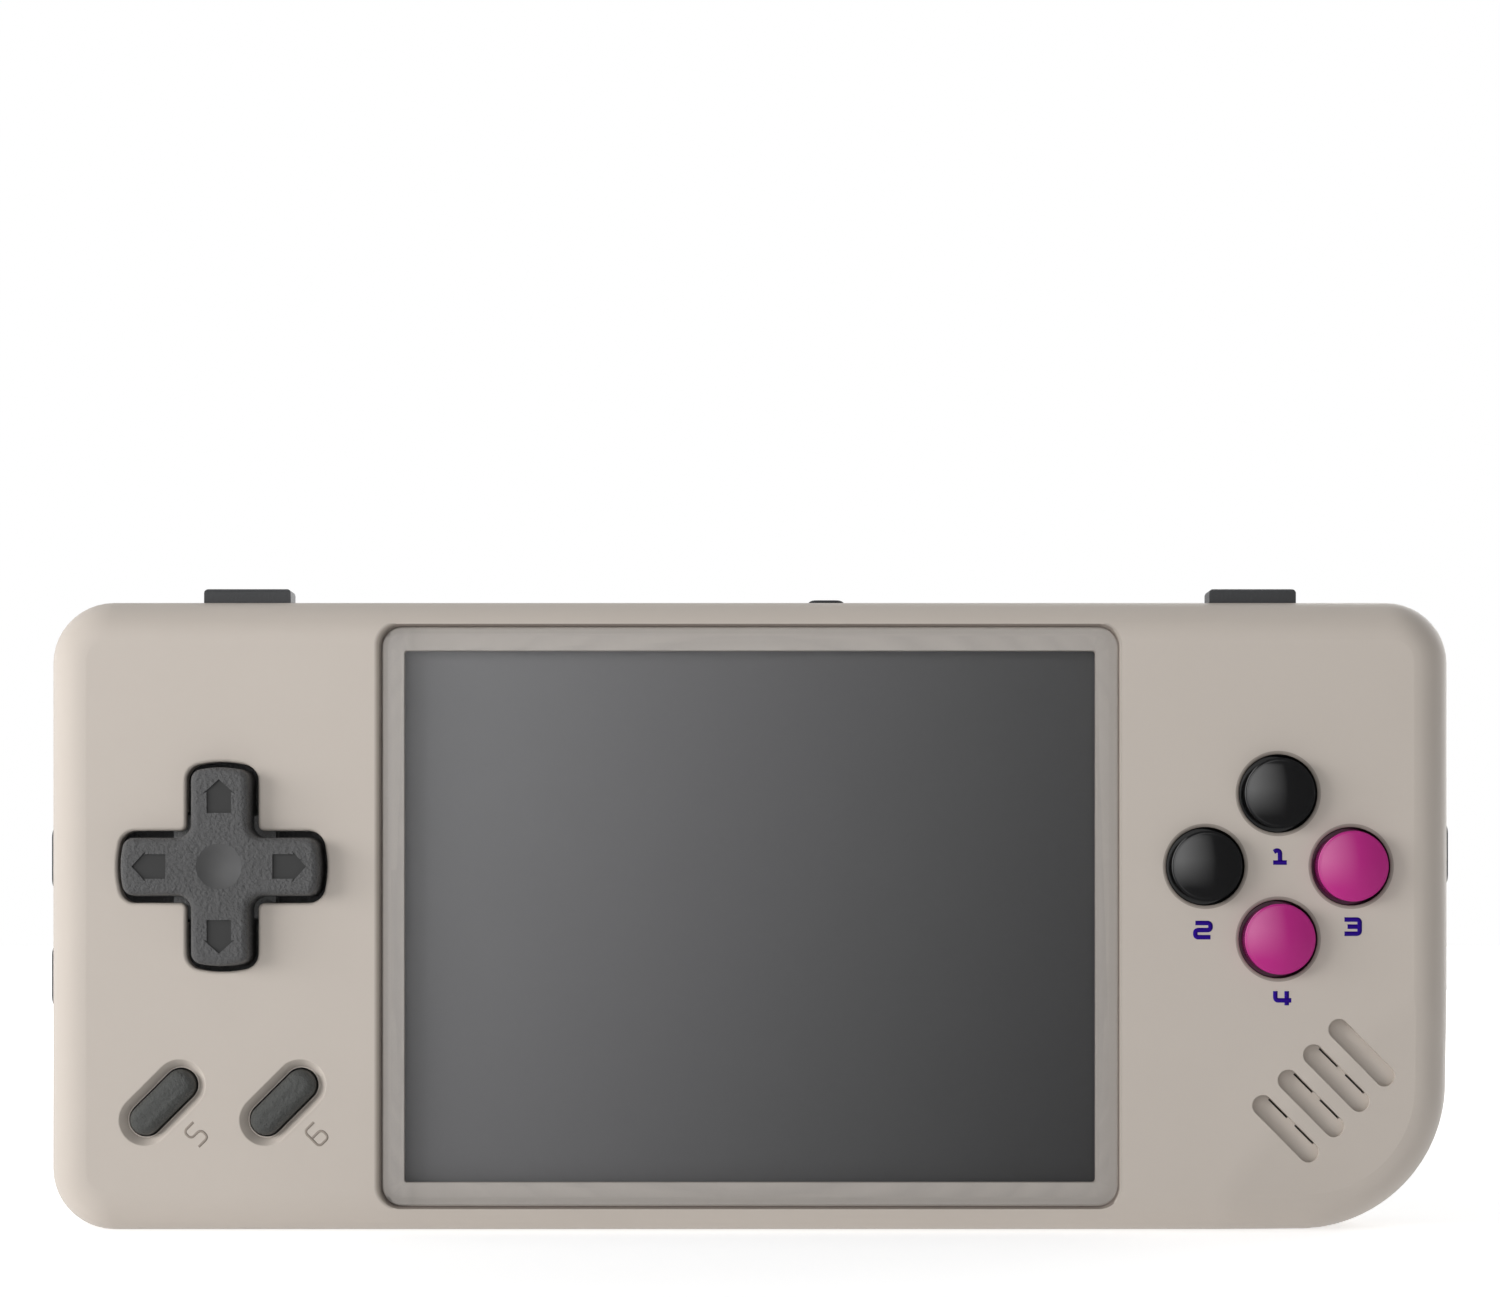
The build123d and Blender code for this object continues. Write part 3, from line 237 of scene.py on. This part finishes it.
def grainedPad():
    material, tree, shader, spot, tone, bump = moulding("grainedGreyAbs", padLook)
    zones = padZones
    fromMiddle = addNode(tree, "ShaderNodeVectorMath", {0: spot, 1: zones["middle"]}, operation="SUBTRACT")
    x, depth, z = addNode(tree, "ShaderNodeSeparateXYZ", {0: fromMiddle}).outputs
    x, z = [addNode(tree, "ShaderNodeMath", {0: side}, operation="ABSOLUTE") for side in (x, z)]
    along = addNode(tree, "ShaderNodeMath", {0: x, 1: z}, operation="MAXIMUM")
    across = addNode(tree, "ShaderNodeMath", {0: x, 1: z}, operation="MINIMUM")
    (alongMiddle, alongHalf), (floorMiddle, floorHalf) = zones["arrowAlong"], zones["arrowDepth"]
    arrow = overlapOf(
        tree,
        addNode(tree, "ShaderNodeMath", {0: along, 1: alongMiddle, 2: alongHalf}, operation="COMPARE"),
        addNode(tree, "ShaderNodeMath", {0: across, 1: zones["arrowHalfWidth"]}, operation="LESS_THAN"),
        addNode(tree, "ShaderNodeMath", {0: depth, 1: floorMiddle, 2: floorHalf}, operation="COMPARE"),
    )
    collar = overlapOf(
        tree,
        addNode(tree, "ShaderNodeMath", {0: depth, 1: zones["collarDepth"]}, operation="GREATER_THAN"),
        addNode(tree, "ShaderNodeMath", {0: along, 1: zones["collarReach"]}, operation="LESS_THAN"),
    )
    # the arrows carry a darker tone with painted shade, and the collar carries painted light
    tone = layered(tree, tone, (arrow, zones["arrowToneAndShade"]), (collar, zones["collarPaintedLight"]))
    tree.links.new(tone, shader.inputs["Base Color"])

    fromAxis = addNode(tree, "ShaderNodeVectorMath", {0: fromMiddle, 1: (1, 0, 1)}, operation="MULTIPLY")
    fromAxis = addNode(tree, "ShaderNodeVectorMath", {0: fromAxis}, operation="LENGTH").outputs["Value"]
    dimple = addNode(tree, "ShaderNodeMath", {0: fromAxis, 1: zones["dimpleRadius"]},
                     operation="LESS_THAN")
    polished = addNode(tree, "ShaderNodeMath", {0: arrow, 1: dimple}, operation="MAXIMUM")
    grained = addNode(tree, "ShaderNodeMath", {0: 1.0, 1: polished}, operation="SUBTRACT")
    tree.links.new(grained.outputs[0], bump.inputs["Strength"])
    return material


# ABS with a soft, shallow grain
pillLook = {
    "low": "#474847", "high": "#50514f", "roughness": 0.42, "ior": 1.5,
    "flowWidth": 4 * mm, "grainWidth": 0.36 * mm, "grainDepth": 0.18 * mm,
}
# ABS, darker and finer in grain
edgeButtonLook = {
    "low": "#3a3b3d", "high": "#444547", "roughness": 0.5, "ior": 1.53,
    "flowWidth": 4 * mm, "grainWidth": 0.3 * mm, "grainDepth": 0.05 * mm,
}
# the small keys in the edges have a soft-touch coat that mirrors almost nothing
softKeyLook = edgeButtonLook | {"mirror": 0.04}
# ABS from a polished tool: the colour lies under a clear, sharp gloss
blackDomeLook = {
    "low": "#141415", "high": "#171718", "roughness": 0.16, "ior": 1.5,
    "coat": 1.0, "coatIor": 1.6, "coatRoughness": 0.06,
    "flowWidth": 5 * mm, "grainWidth": 0.6 * mm, "grainDepth": 0.0006 * mm,
}
magentaDomeLook = blackDomeLook | {"low": "#b0267c", "high": "#b72b82"}
# pad-printed ink: thin, even and matt
inkLook = {
    "low": "#22007a", "high": "#26037f", "roughness": 0.7, "ior": 1.25,
    "flowWidth": 1 * mm, "grainWidth": 0.1 * mm, "grainDepth": 0.001 * mm,
}
# the engraved figures are flat strokes in a darker beige: painted shade that stands in for the shade in the
# engraved grooves
engravingShadeLook = inkLook | {"low": "#8f867d", "high": "#958c83"}

# Cast and polished acrylic: clear, with a faint waviness that only a highlight shows. Its coat lets no
# mirror image show head-on.
paneLook = {
    "colour": "#f4f4f5", "ior": 1.49, "mirror": 0.0, "shadeColour": "#f0f0f1",
    "waveWidth": 30 * mm, "waveDepth": 0.0005 * mm,
}


def clearAcrylic():
    look = paneLook
    material, tree, shader, spot = newMaterial("polishedClearAcrylic", {
        "Base Color": linear(look["colour"]), "Transmission Weight": 1.0, "Roughness": 0.0,
        "IOR": look["ior"], "Specular IOR Level": look["mirror"],
    })
    wave = grainOf(tree, spot, look["waveWidth"])
    bump = addNode(tree, "ShaderNodeBump", {"Height": wave, "Distance": look["waveDepth"], "Strength": 1.0})
    tree.links.new(bump.outputs[0], shader.inputs["Normal"])
    # lamps shine through the pane on what lies behind it
    rays = addNode(tree, "ShaderNodeLightPath").outputs
    through = rays["Is Shadow Ray"]
    for kind in ("Is Diffuse Ray", "Is Glossy Ray"):
        through = addNode(tree, "ShaderNodeMath", {0: through, 1: rays[kind]}, operation="MAXIMUM")
    clear = addNode(tree, "ShaderNodeBsdfTransparent", {"Color": linear(look["shadeColour"])})
    pane = addNode(tree, "ShaderNodeMixShader", {0: through, 1: shader, 2: clear})
    tree.links.new(pane.outputs[0], tree.nodes["Material Output"].inputs["Surface"])
    return material


# The panel's polariser film: a grey that fades evenly from the upper left to the lower right
screenLook = {
    "middle": 0.415, "across": -0.23, "up": 0.055, "gamma": 2.2, "roughness": 0.5, "mirror": 0.1,
    "width": 68.4 * mm, "height": 52.6 * mm, "centreZ": 31.2 * mm,
}


def litScreen():
    look = screenLook
    material, tree, shader, spot = newMaterial("polariserFilm", {
        "Roughness": look["roughness"], "Specular IOR Level": look["mirror"],
    })
    parts = addNode(tree, "ShaderNodeSeparateXYZ", {0: spot}).outputs
    height = addNode(tree, "ShaderNodeMath", {0: parts["Z"], 1: look["centreZ"]}, operation="SUBTRACT")
    tone = look["middle"]
    for way, fade in ((parts["X"], look["across"] / look["width"]), (height, look["up"] / look["height"])):
        tone = addNode(tree, "ShaderNodeMath", {0: way, 1: fade, 2: tone}, operation="MULTIPLY_ADD")
    light = addNode(tree, "ShaderNodeMath", {0: tone, 1: look["gamma"]}, operation="POWER")
    grey = addNode(tree, "ShaderNodeCombineColor", {i: light for i in range(3)})
    tree.links.new(grey.outputs[0], shader.inputs["Base Color"])
    return material


# Clear tape over the ledge, painted lighter along its left side: painted light standing in for the light
# that the pane bends onto it
tapeLook = {
    "plain": "#c5beb5", "lit": "#f4ece2", "roughness": 0.5, "from": -35.4 * mm, "to": -33.4 * mm,
    "mottleWidth": 0.8 * mm, "mottle": 0.06,
}


def tapedLedge():
    look = tapeLook
    material, tree, shader, spot = newMaterial("clearFilmTape", {"Roughness": look["roughness"]})
    across = addNode(tree, "ShaderNodeSeparateXYZ", {0: spot}).outputs["X"]
    side = addNode(tree, "ShaderNodeMapRange", {"Value": across, "From Min": look["from"],
                                                "From Max": look["to"], "To Min": 1.0, "To Max": 0.0})
    mottle = grainOf(tree, spot, look["mottleWidth"])
    factor = addNode(tree, "ShaderNodeMath", {0: mottle, 1: look["mottle"], 2: side},
                     operation="MULTIPLY_ADD")
    # painted light on the tape's left side
    tree.links.new(layered(tree, linear(look["plain"]), (factor, look["lit"])), shader.inputs["Base Color"])
    return material


# Sheet metals: fine streaks run the way the strip was rolled, drawn wider than real ones so that they
# show. Foil and blackened steel have a fine mottle instead.
metalLooks = {
    "rolledTinPlate": {"colour": ("#b9b8b4", "#c9c8c4"), "roughness": 0.34, "streak": (1, 1, 0.04)},
    "stampedStainless": {"colour": ("#a9a9ab", "#bdbdbf"), "roughness": 0.28, "streak": (0.05, 1, 1)},
    "rolledAluminium": {"colour": ("#b2b3b8", "#c2c3c8"), "roughness": 0.36, "streak": (0.04, 1, 1)},
    "foilPouch": {"colour": ("#8f9094", "#a3a4a8"), "roughness": 0.3, "streak": (1, 1, 1)},
    "blackenedSteel": {"colour": ("#2b2b2d", "#38383a"), "roughness": 0.38, "streak": (1, 1, 1)},
    "goldPlate": {"colour": ("#d2a54a", "#dcb25c"), "roughness": 0.22, "streak": (1, 1, 0.1)},
}
streakSize = {"width": 0.12 * mm, "depth": 0.001 * mm}


def sheetMetal(name):
    look = metalLooks[name]
    material, tree, shader, spot = newMaterial(name, {"Metallic": 1.0, "Roughness": look["roughness"]})
    streaks = grainOf(tree, spot, streakSize["width"], stretch=look["streak"])
    low, high = look["colour"]
    tree.links.new(layered(tree, linear(low), (streaks, high)), shader.inputs["Base Color"])
    bump = addNode(tree, "ShaderNodeBump", {"Height": streaks, "Distance": streakSize["depth"],
                                            "Strength": 1.0})
    tree.links.new(bump.outputs[0], shader.inputs["Normal"])
    return material


# Pieces inside the case: (darkest, lightest, roughness, width of the mottle in mm, depth in mm)
innerLooks = {
    "siliconeRubber": ("#5a5d61", "#66696d", 0.6, 0.5, 0.004),          # pressed: dull, faintly cloudy
    "closedCellFoam": ("#1c1c1d", "#29292a", 0.9, 0.15, 0.03),          # cut: open pores, no shine
    "polyimideFilm": ("#8a5a1e", "#9b6a2a", 0.35, 2.0, 0.001),          # cast: smooth amber
    "solderMask": ("#0d3a22", "#134a2c", 0.35, 1.2, 0.004),             # flooded on: a wavy satin green
    "mouldedEpoxy": ("#151516", "#1e1e1f", 0.55, 0.1, 0.004),           # fine and matt
    "glassFilledNylon": ("#17171a", "#222226", 0.5, 0.2, 0.006),        # fibres roughen the skin
    "mouldedAcetal": ("#d6d5cd", "#e0dfd8", 0.35, 0.4, 0.002),          # waxy and smooth
    "paintedBasket": ("#1a1a1b", "#252526", 0.4, 0.3, 0.003),           # sprayed satin black
    "wireInsulation": ("#7c1214", "#8c1a1b", 0.4, 0.3, 0.003),          # drawn: smooth red
}
flowPerMottle = 4


def innerMaterial(name):
    low, high, roughness, width, depth = innerLooks[name]
    return mouldedPlastic(name, {
        "low": low, "high": high, "roughness": roughness, "ior": 1.5,
        "flowWidth": flowPerMottle * width * mm, "grainWidth": width * mm, "grainDepth": depth * mm,
    })


finishes = {
    "shell": gappedShell(),
    "lens": clearAcrylic(),
    "screen": litScreen(),
    "grey_plastic": grainedPad(),
    "black_gloss": mouldedPlastic("polishedBlackAbs", blackDomeLook),
    "magenta_gloss": mouldedPlastic("polishedMagentaAbs", magentaDomeLook),
    "adhesive": tapedLedge(),
    "foam": innerMaterial("closedCellFoam"),
    "tray": sheetMetal("rolledAluminium"),
    "flex": innerMaterial("polyimideFilm"),
    "board": innerMaterial("solderMask"),
    "can": sheetMetal("rolledTinPlate"),
    "chip": innerMaterial("mouldedEpoxy"),
    "connector": innerMaterial("glassFilledNylon"),
    "switch": innerMaterial("glassFilledNylon"),
    "battery": sheetMetal("foilPouch"),
    "lead": innerMaterial("wireInsulation"),
    "membrane": innerMaterial("siliconeRubber"),
    "pivot": innerMaterial("mouldedAcetal"),
    "speaker": innerMaterial("paintedBasket"),
    "socket_steel": sheetMetal("stampedStainless"),
    "screw": sheetMetal("blackenedSteel"),
}
pillFinish = mouldedPlastic("softGrainedAbs", pillLook)
edgeFinish = mouldedPlastic("grainedDarkAbs", edgeButtonLook)
softKeyFinish = mouldedPlastic("softTouchAbs", softKeyLook)
ownFinishes = {name: pillFinish for name in ("option_button_left", "option_button_right")}
ownFinishes |= {name: edgeFinish for name in nodes if name.startswith("shoulder_")}
ownFinishes |= {name: softKeyFinish for name in ("menu_button", "volume_up_button", "volume_down_button",
                                                 "power_button")}
for part in frame["record"]["subparts"]:
    piece = nodes[part["node"]]
    piece.data.materials.clear()
    piece.data.materials.append(ownFinishes.get(part["node"], finishes[part["material_slot"]]))
print("finished the parts of the case")


def newGeometryTree(name, sizes, counts=()):
    # takes a mesh and named numbers, and gives a mesh
    tree = bpy.data.node_groups.new(name, "GeometryNodeTree")
    tree.interface.new_socket("Geometry", in_out="INPUT", socket_type="NodeSocketGeometry")
    for count in counts:
        tree.interface.new_socket(count, in_out="INPUT", socket_type="NodeSocketInt")
    for size in sizes:
        tree.interface.new_socket(size, in_out="INPUT", socket_type="NodeSocketFloat")
    tree.interface.new_socket("Geometry", in_out="OUTPUT", socket_type="NodeSocketGeometry")
    return tree, addNode(tree, "NodeGroupInput").outputs


def endTree(tree, geometry, material):
    real = addNode(tree, "GeometryNodeRealizeInstances", {"Geometry": geometry})
    dressed = addNode(tree, "GeometryNodeSetMaterial", {"Geometry": real, "Material": material})
    addNode(tree, "NodeGroupOutput", {0: dressed})
    return tree


def grownMesh(mesh, tree, values, name):
    # the tree's result on this mesh, as a plain mesh object
    source = newObject(name + "Source", mesh)
    modifier = source.modifiers.new(tree.name, "NODES")
    modifier.node_group = tree
    for item in tree.interface.items_tree:
        if item.item_type == "SOCKET" and item.in_out == "INPUT" and item.name in values:
            modifier[item.identifier] = values[item.name]
    graph = bpy.context.evaluated_depsgraph_get()
    result = bpy.data.meshes.new_from_object(source.evaluated_get(graph))
    bpy.data.objects.remove(source)
    return newObject(name, result)


# Plain numerals, as strokes on a unit cell; a stroke ends at the side of the one it meets, so that no
# two faces lie in one another
numeralStrokes = {
    "1": [[(0.1, 0.75), (0.5, 1), (0.5, 0.16)], [(0.05, 0), (0.95, 0)]],
    "2": [[(0, 1), (1, 1), (1, 0.5), (0, 0.5), (0, 0), (1, 0)]],
    "3": [[(0, 1), (1, 1), (1, 0), (0, 0)], [(0.2, 0.5), (0.85, 0.5)]],
    "4": [[(0, 1), (0, 0.35), (1.05, 0.35)], [(0.75, 1), (0.75, 0.51)], [(0.75, 0.19), (0.75, 0)]],
    "5": [[(1, 1), (0, 1), (0, 0.52), (1, 0.52), (1, 0), (0, 0)]],
    "6": [[(1, 1), (0, 1), (0, 0), (1, 0), (1, 0.52), (0.093, 0.52)]],
}
inkMarks = {
    "width": 1.5 * mm, "height": 1.4 * mm, "stroke": 0.45 * mm, "corner": 0.28 * mm, "thickness": 0.016 * mm,
    "turn": 0.0,
    "places": {"1": (52.27, 37.22), "2": (44.67, 29.86), "3": (59.38, 30.2), "4": (52.56, 23.14)},
}
engravedMarks = {
    "width": 1.35 * mm, "height": 2.1 * mm, "stroke": 0.25 * mm, "corner": 0.42 * mm, "thickness": 0.01 * mm,
    "turn": math.radians(45),
    "places": {"5": (-54.64, 9.7), "6": (-42.75, 9.7)},
}
cornerSteps = 6
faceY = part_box("screen_lens")[0][1]        # the lens's front is level with the face


def strokeTree(material):
    # a flat ribbon with rounded corners along each stroke
    tree, given = newGeometryTree("inkStroke", ("Stroke", "Thickness", "Corner"))
    curve = addNode(tree, "GeometryNodeMeshToCurve", {"Mesh": given["Geometry"]})
    rounding = addNode(tree, "GeometryNodeFilletCurve", {"Curve": curve, "Radius": given["Corner"],
                                                         "Count": cornerSteps}, mode="POLY")
    upright = addNode(tree, "GeometryNodeSetCurveNormal", {"Curve": rounding}, mode="Z_UP")
    band = addNode(tree, "GeometryNodeCurvePrimitiveQuadrilateral",
                   {"Width": given["Stroke"], "Height": given["Thickness"]})
    ribbon = addNode(tree, "GeometryNodeCurveToMesh", {"Curve": upright, "Profile Curve": band,
                                                       "Fill Caps": True})
    return endTree(tree, ribbon, material)


def numeral(figure, marks, tree, name):
    mesh = bpy.data.meshes.new(name + "Strokes")
    points, edges = [], []
    for stroke in numeralStrokes[figure]:
        first = len(points)
        points += [((x - 0.5) * marks["width"], (y - 0.5) * marks["height"], 0) for x, y in stroke]
        edges += [(first + i, first + i + 1) for i in range(len(stroke) - 1)]
    mesh.from_pydata(points, edges, [])
    sizes = {"Stroke": marks["stroke"], "Thickness": marks["thickness"], "Corner": marks["corner"]}
    piece = grownMesh(mesh, tree, sizes, name)
    x, z = marks["places"][figure]
    upright = Matrix.Rotation(math.radians(90), 4, "X") @ Matrix.Rotation(marks["turn"], 4, "Z")
    piece.data.transform(Matrix.Translation((x * mm, faceY - marks["thickness"] / 2, z * mm)) @ upright)
    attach(piece, "root")


inkTree = strokeTree(mouldedPlastic("padPrintedIndigoInk", inkLook))
# the engraved figures' strokes carry painted shade
engravedTree = strokeTree(mouldedPlastic("paintedEngravingShadeBeige", engravingShadeLook))
for figure in inkMarks["places"]:
    numeral(figure, inkMarks, inkTree, "numeral_" + figure)
for figure in engravedMarks["places"]:
    numeral(figure, engravedMarks, engravedTree, "engraved_numeral_" + figure)
print("printed the numerals")

# Spring contacts in the sockets: rows of gold-plated strips on both faces of each tongue
contactRows = {
    "usb_contacts": {"socket": "usb_socket", "count": 12, "pitch": 0.5 * mm, "width": 0.24 * mm,
                     "length": 4.4 * mm, "fromMouth": 1.2 * mm, "opensUp": False},
    "video_contacts": {"socket": "video_socket", "count": 10, "pitch": 0.8 * mm, "width": 0.4 * mm,
                       "length": 4.6 * mm, "fromMouth": 1.2 * mm, "opensUp": True},
}
contactLook = {"thickness": 0.04 * mm, "tongueThickness": 0.7 * mm}


def contactTree(material):
    # a row of strips, side by side, copied to the other face of the tongue
    sizes = ("Pitch", "Width", "Length", "Thickness", "Spread")
    tree, given = newGeometryTree("contactRow", sizes, counts=("Count",))
    size = addNode(tree, "ShaderNodeCombineXYZ", {0: given["Width"], 1: given["Thickness"],
                                                  2: given["Length"]})
    strip = addNode(tree, "GeometryNodeMeshCube", {"Size": size})
    steps = addNode(tree, "ShaderNodeMath", {0: given["Count"], 1: 1.0}, operation="SUBTRACT")
    run = addNode(tree, "ShaderNodeMath", {0: steps, 1: given["Pitch"]}, operation="MULTIPLY")
    start = addNode(tree, "ShaderNodeMath", {0: run, 1: -0.5}, operation="MULTIPLY")
    step = addNode(tree, "ShaderNodeCombineXYZ", {0: given["Pitch"]})
    faces = addNode(tree, "GeometryNodeJoinGeometry")
    for side in (-1, 1):
        rise = addNode(tree, "ShaderNodeMath", {0: given["Spread"], 1: side * 0.5}, operation="MULTIPLY")
        first = addNode(tree, "ShaderNodeCombineXYZ", {0: start, 1: rise})
        line = addNode(tree, "GeometryNodeMeshLine", {"Count": given["Count"], "Start Location": first,
                                                      "Offset": step})
        row = addNode(tree, "GeometryNodeInstanceOnPoints", {"Points": line, "Instance": strip})
        tree.links.new(row.outputs[0], faces.inputs[0])
    return endTree(tree, faces, material)


def contactRow(name, row, tree):
    # each strip is sunk by half its thickness, as it is in the moulded tongue
    values = {key.capitalize(): row[key] for key in ("count", "pitch", "width", "length")}
    values |= {"Thickness": contactLook["thickness"], "Spread": contactLook["tongueThickness"]}
    piece = grownMesh(bpy.data.meshes.new(name + "Seed"), tree, values, name)
    low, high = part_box(row["socket"])
    reach = row["fromMouth"] + row["length"] / 2
    middle = Vector(low) / 2 + Vector(high) / 2
    middle.z = high[2] - reach if row["opensUp"] else low[2] + reach
    piece.data.transform(Matrix.Translation(middle))
    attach(piece, "root")


goldTree = contactTree(sheetMetal("goldPlate"))
for name, row in contactRows.items():
    contactRow(name, row, goldTree)
print("laid the contacts in the sockets")

# Floor: pale, and white away from the console, so that no horizon shows
floorLook = {
    "radius": 3.0, "sides": 64, "colour": "#f2f2f2", "roughness": 0.9, "mirror": 0.1,
    "near": 0.1, "far": 0.45, "nearGlow": 0.55, "farGlow": 1.0, "bounce": 0.34,
}


def paleFloor():
    look = floorLook
    material, tree, shader, spot = newMaterial("paleStudioFloor", {
        "Base Color": linear(look["colour"]), "Roughness": look["roughness"],
        "Specular IOR Level": look["mirror"], "Emission Color": (1, 1, 1, 1),
    })
    reach = addNode(tree, "ShaderNodeVectorMath", {0: spot}, operation="LENGTH")
    glow = addNode(tree, "ShaderNodeMapRange", {
        "Value": reach.outputs["Value"], "From Min": look["near"], "From Max": look["far"],
        "To Min": look["nearGlow"], "To Max": look["farGlow"],
    })
    rays = addNode(tree, "ShaderNodeLightPath").outputs
    seen = rays["Is Camera Ray"]
    for kind in ("Is Glossy Ray", "Is Transmission Ray"):
        seen = addNode(tree, "ShaderNodeMath", {0: seen, 1: rays[kind]}, operation="MAXIMUM")
    strength = addNode(tree, "ShaderNodeMath", {0: seen, 1: glow}, operation="MULTIPLY")
    strength = addNode(tree, "ShaderNodeMath", {0: rays["Is Diffuse Ray"], 1: look["bounce"], 2: strength},
                       operation="MULTIPLY_ADD")
    tree.links.new(strength.outputs[0], shader.inputs["Emission Strength"])
    return material


def addFloor():
    mesh = bpy.data.meshes.new("floor")
    shape = bmesh.new()
    bmesh.ops.create_circle(shape, cap_ends=True, segments=floorLook["sides"], radius=floorLook["radius"])
    shape.to_mesh(mesh)
    shape.free()
    mesh.materials.append(paleFloor())
    floor = newObject("floor", mesh)
    floor.visible_transmission = False
    floor.visible_glossy = False        # the soft box reaches below it, so that the lens mirrors no horizon


addFloor()

# Studio: a large soft box in front that fades to the right, whose right edge shows in the domes, the main
# light from the left, a weak light from above and another from behind. The glow is the light that a
# lamp's surface gives off.
lamps = {
    "fadingSoftBox": {"place": (-0.18, -0.55, 0.12), "aim": (-0.18, 0.0, 0.12), "size": (0.80, 0.74),
                      "glow": 1.3, "fade": (1.0, 0.05), "fadeFrom": 0.45, "risesOver": 0.5},
    "leftKey": {"place": (-0.76, -0.33, 0.07), "aim": (0.0, 0.0, 0.03), "size": (0.45, 0.5), "glow": 12.3,
                "mirrored": False},
    "topFill": {"place": (0.0, -0.05, 0.8), "aim": (0.0, 0.0, 0.03), "size": (0.9, 0.5), "glow": 0.75,
                "mirrored": False},
    "rearFill": {"place": (0.55, 0.7, 0.3), "aim": (0.0, 0.0, 0.03), "size": (0.9, 0.9), "glow": 2.0},
}


def fadeLamp(lamp, values):
    # Parametric runs from 0 to 1 over the lamp's width and height
    lamp.use_nodes = True
    tree = lamp.node_tree
    tree.nodes.clear()
    left, right = values["fade"]
    place = addNode(tree, "ShaderNodeNewGeometry").outputs["Parametric"]
    parts = addNode(tree, "ShaderNodeSeparateXYZ", {0: place}).outputs
    across = addNode(tree, "ShaderNodeMapRange", {"Value": parts["X"], "From Min": values["fadeFrom"],
                                                  "To Min": left, "To Max": right})
    rise = addNode(tree, "ShaderNodeMapRange", {"Value": parts["Y"], "From Max": values["risesOver"],
                                                "To Min": right})
    strength = addNode(tree, "ShaderNodeMath", {0: across, 1: rise}, operation="MULTIPLY")
    emission = addNode(tree, "ShaderNodeEmission", {"Strength": strength})
    addNode(tree, "ShaderNodeOutputLight", {"Surface": emission})


def addLamp(name, values):
    lamp = bpy.data.lights.new(name, "AREA")
    lamp.shape = "RECTANGLE"
    width, height = values["size"]
    lamp.size, lamp.size_y = width, height
    lamp.energy = values["glow"] * math.pi * width * height
    if "fade" in values:
        fadeLamp(lamp, values)
    holder = newObject(name, lamp)
    holder.location = values["place"]
    towards = Vector(values["aim"]) - Vector(values["place"])
    holder.rotation_euler = towards.to_track_quat("-Z", "Y").to_euler()
    holder.visible_camera = False
    holder.visible_transmission = False
    holder.visible_glossy = values.get("mirrored", True)


for name, values in lamps.items():
    addLamp(name, values)

# Room: even light, and for a mirror or a bent ray the white backdrop behind the console and the dark
# room in front of it
roomLook = {"glow": 0.13, "dark": 0.06, "white": 1.0, "from": -0.2, "to": 0.3}


def lightRoom():
    world = bpy.data.worlds.new("studio")
    bpy.context.scene.world = world
    world.use_nodes = True
    tree = world.node_tree
    tree.nodes.clear()
    rays = addNode(tree, "ShaderNodeLightPath").outputs
    turned = addNode(tree, "ShaderNodeMath", {0: rays["Is Glossy Ray"], 1: rays["Is Transmission Ray"]},
                     operation="MAXIMUM")
    way = addNode(tree, "ShaderNodeTexCoord").outputs["Generated"]
    way = addNode(tree, "ShaderNodeSeparateXYZ", {0: way})
    behind = addNode(tree, "ShaderNodeMapRange", {
        "Value": way.outputs["Y"], "From Min": roomLook["from"], "From Max": roomLook["to"],
        "To Min": roomLook["dark"], "To Max": roomLook["white"],
    })
    mirrored = addNode(tree, "ShaderNodeMath", {0: turned, 1: behind}, operation="MULTIPLY")
    plain = addNode(tree, "ShaderNodeMath", {0: rays["Is Diffuse Ray"], 1: roomLook["glow"]},
                    operation="MULTIPLY")
    strength = rays["Is Camera Ray"]
    for light in (mirrored, plain):
        strength = addNode(tree, "ShaderNodeMath", {0: strength, 1: light}, operation="MAXIMUM")
    sky = addNode(tree, "ShaderNodeBackground", {"Color": (1, 1, 1, 1), "Strength": strength})
    addNode(tree, "ShaderNodeOutputWorld", {"Surface": sky})


lightRoom()

# Camera: straight at the face, with the console low in the picture
cameraView = {"distance": 0.320, "middleY": 1.0 * mm, "height": 31.25 * mm, "lens": 75.86, "film": 36,
              "shiftUp": 0.178, "nearest": 0.01}


def addCamera():
    camera = bpy.data.cameras.new("camera")
    camera.sensor_width = cameraView["film"]
    camera.lens = cameraView["lens"]
    camera.shift_y = cameraView["shiftUp"]
    camera.clip_start = cameraView["nearest"]
    holder = newObject("camera", camera)
    holder.location = (0, cameraView["middleY"] - cameraView["distance"], cameraView["height"])
    holder.rotation_euler = (math.radians(90), 0, 0)
    bpy.context.scene.camera = holder


addCamera()
bpy.context.scene.view_settings.view_transform = "Standard"
print("lit the studio")
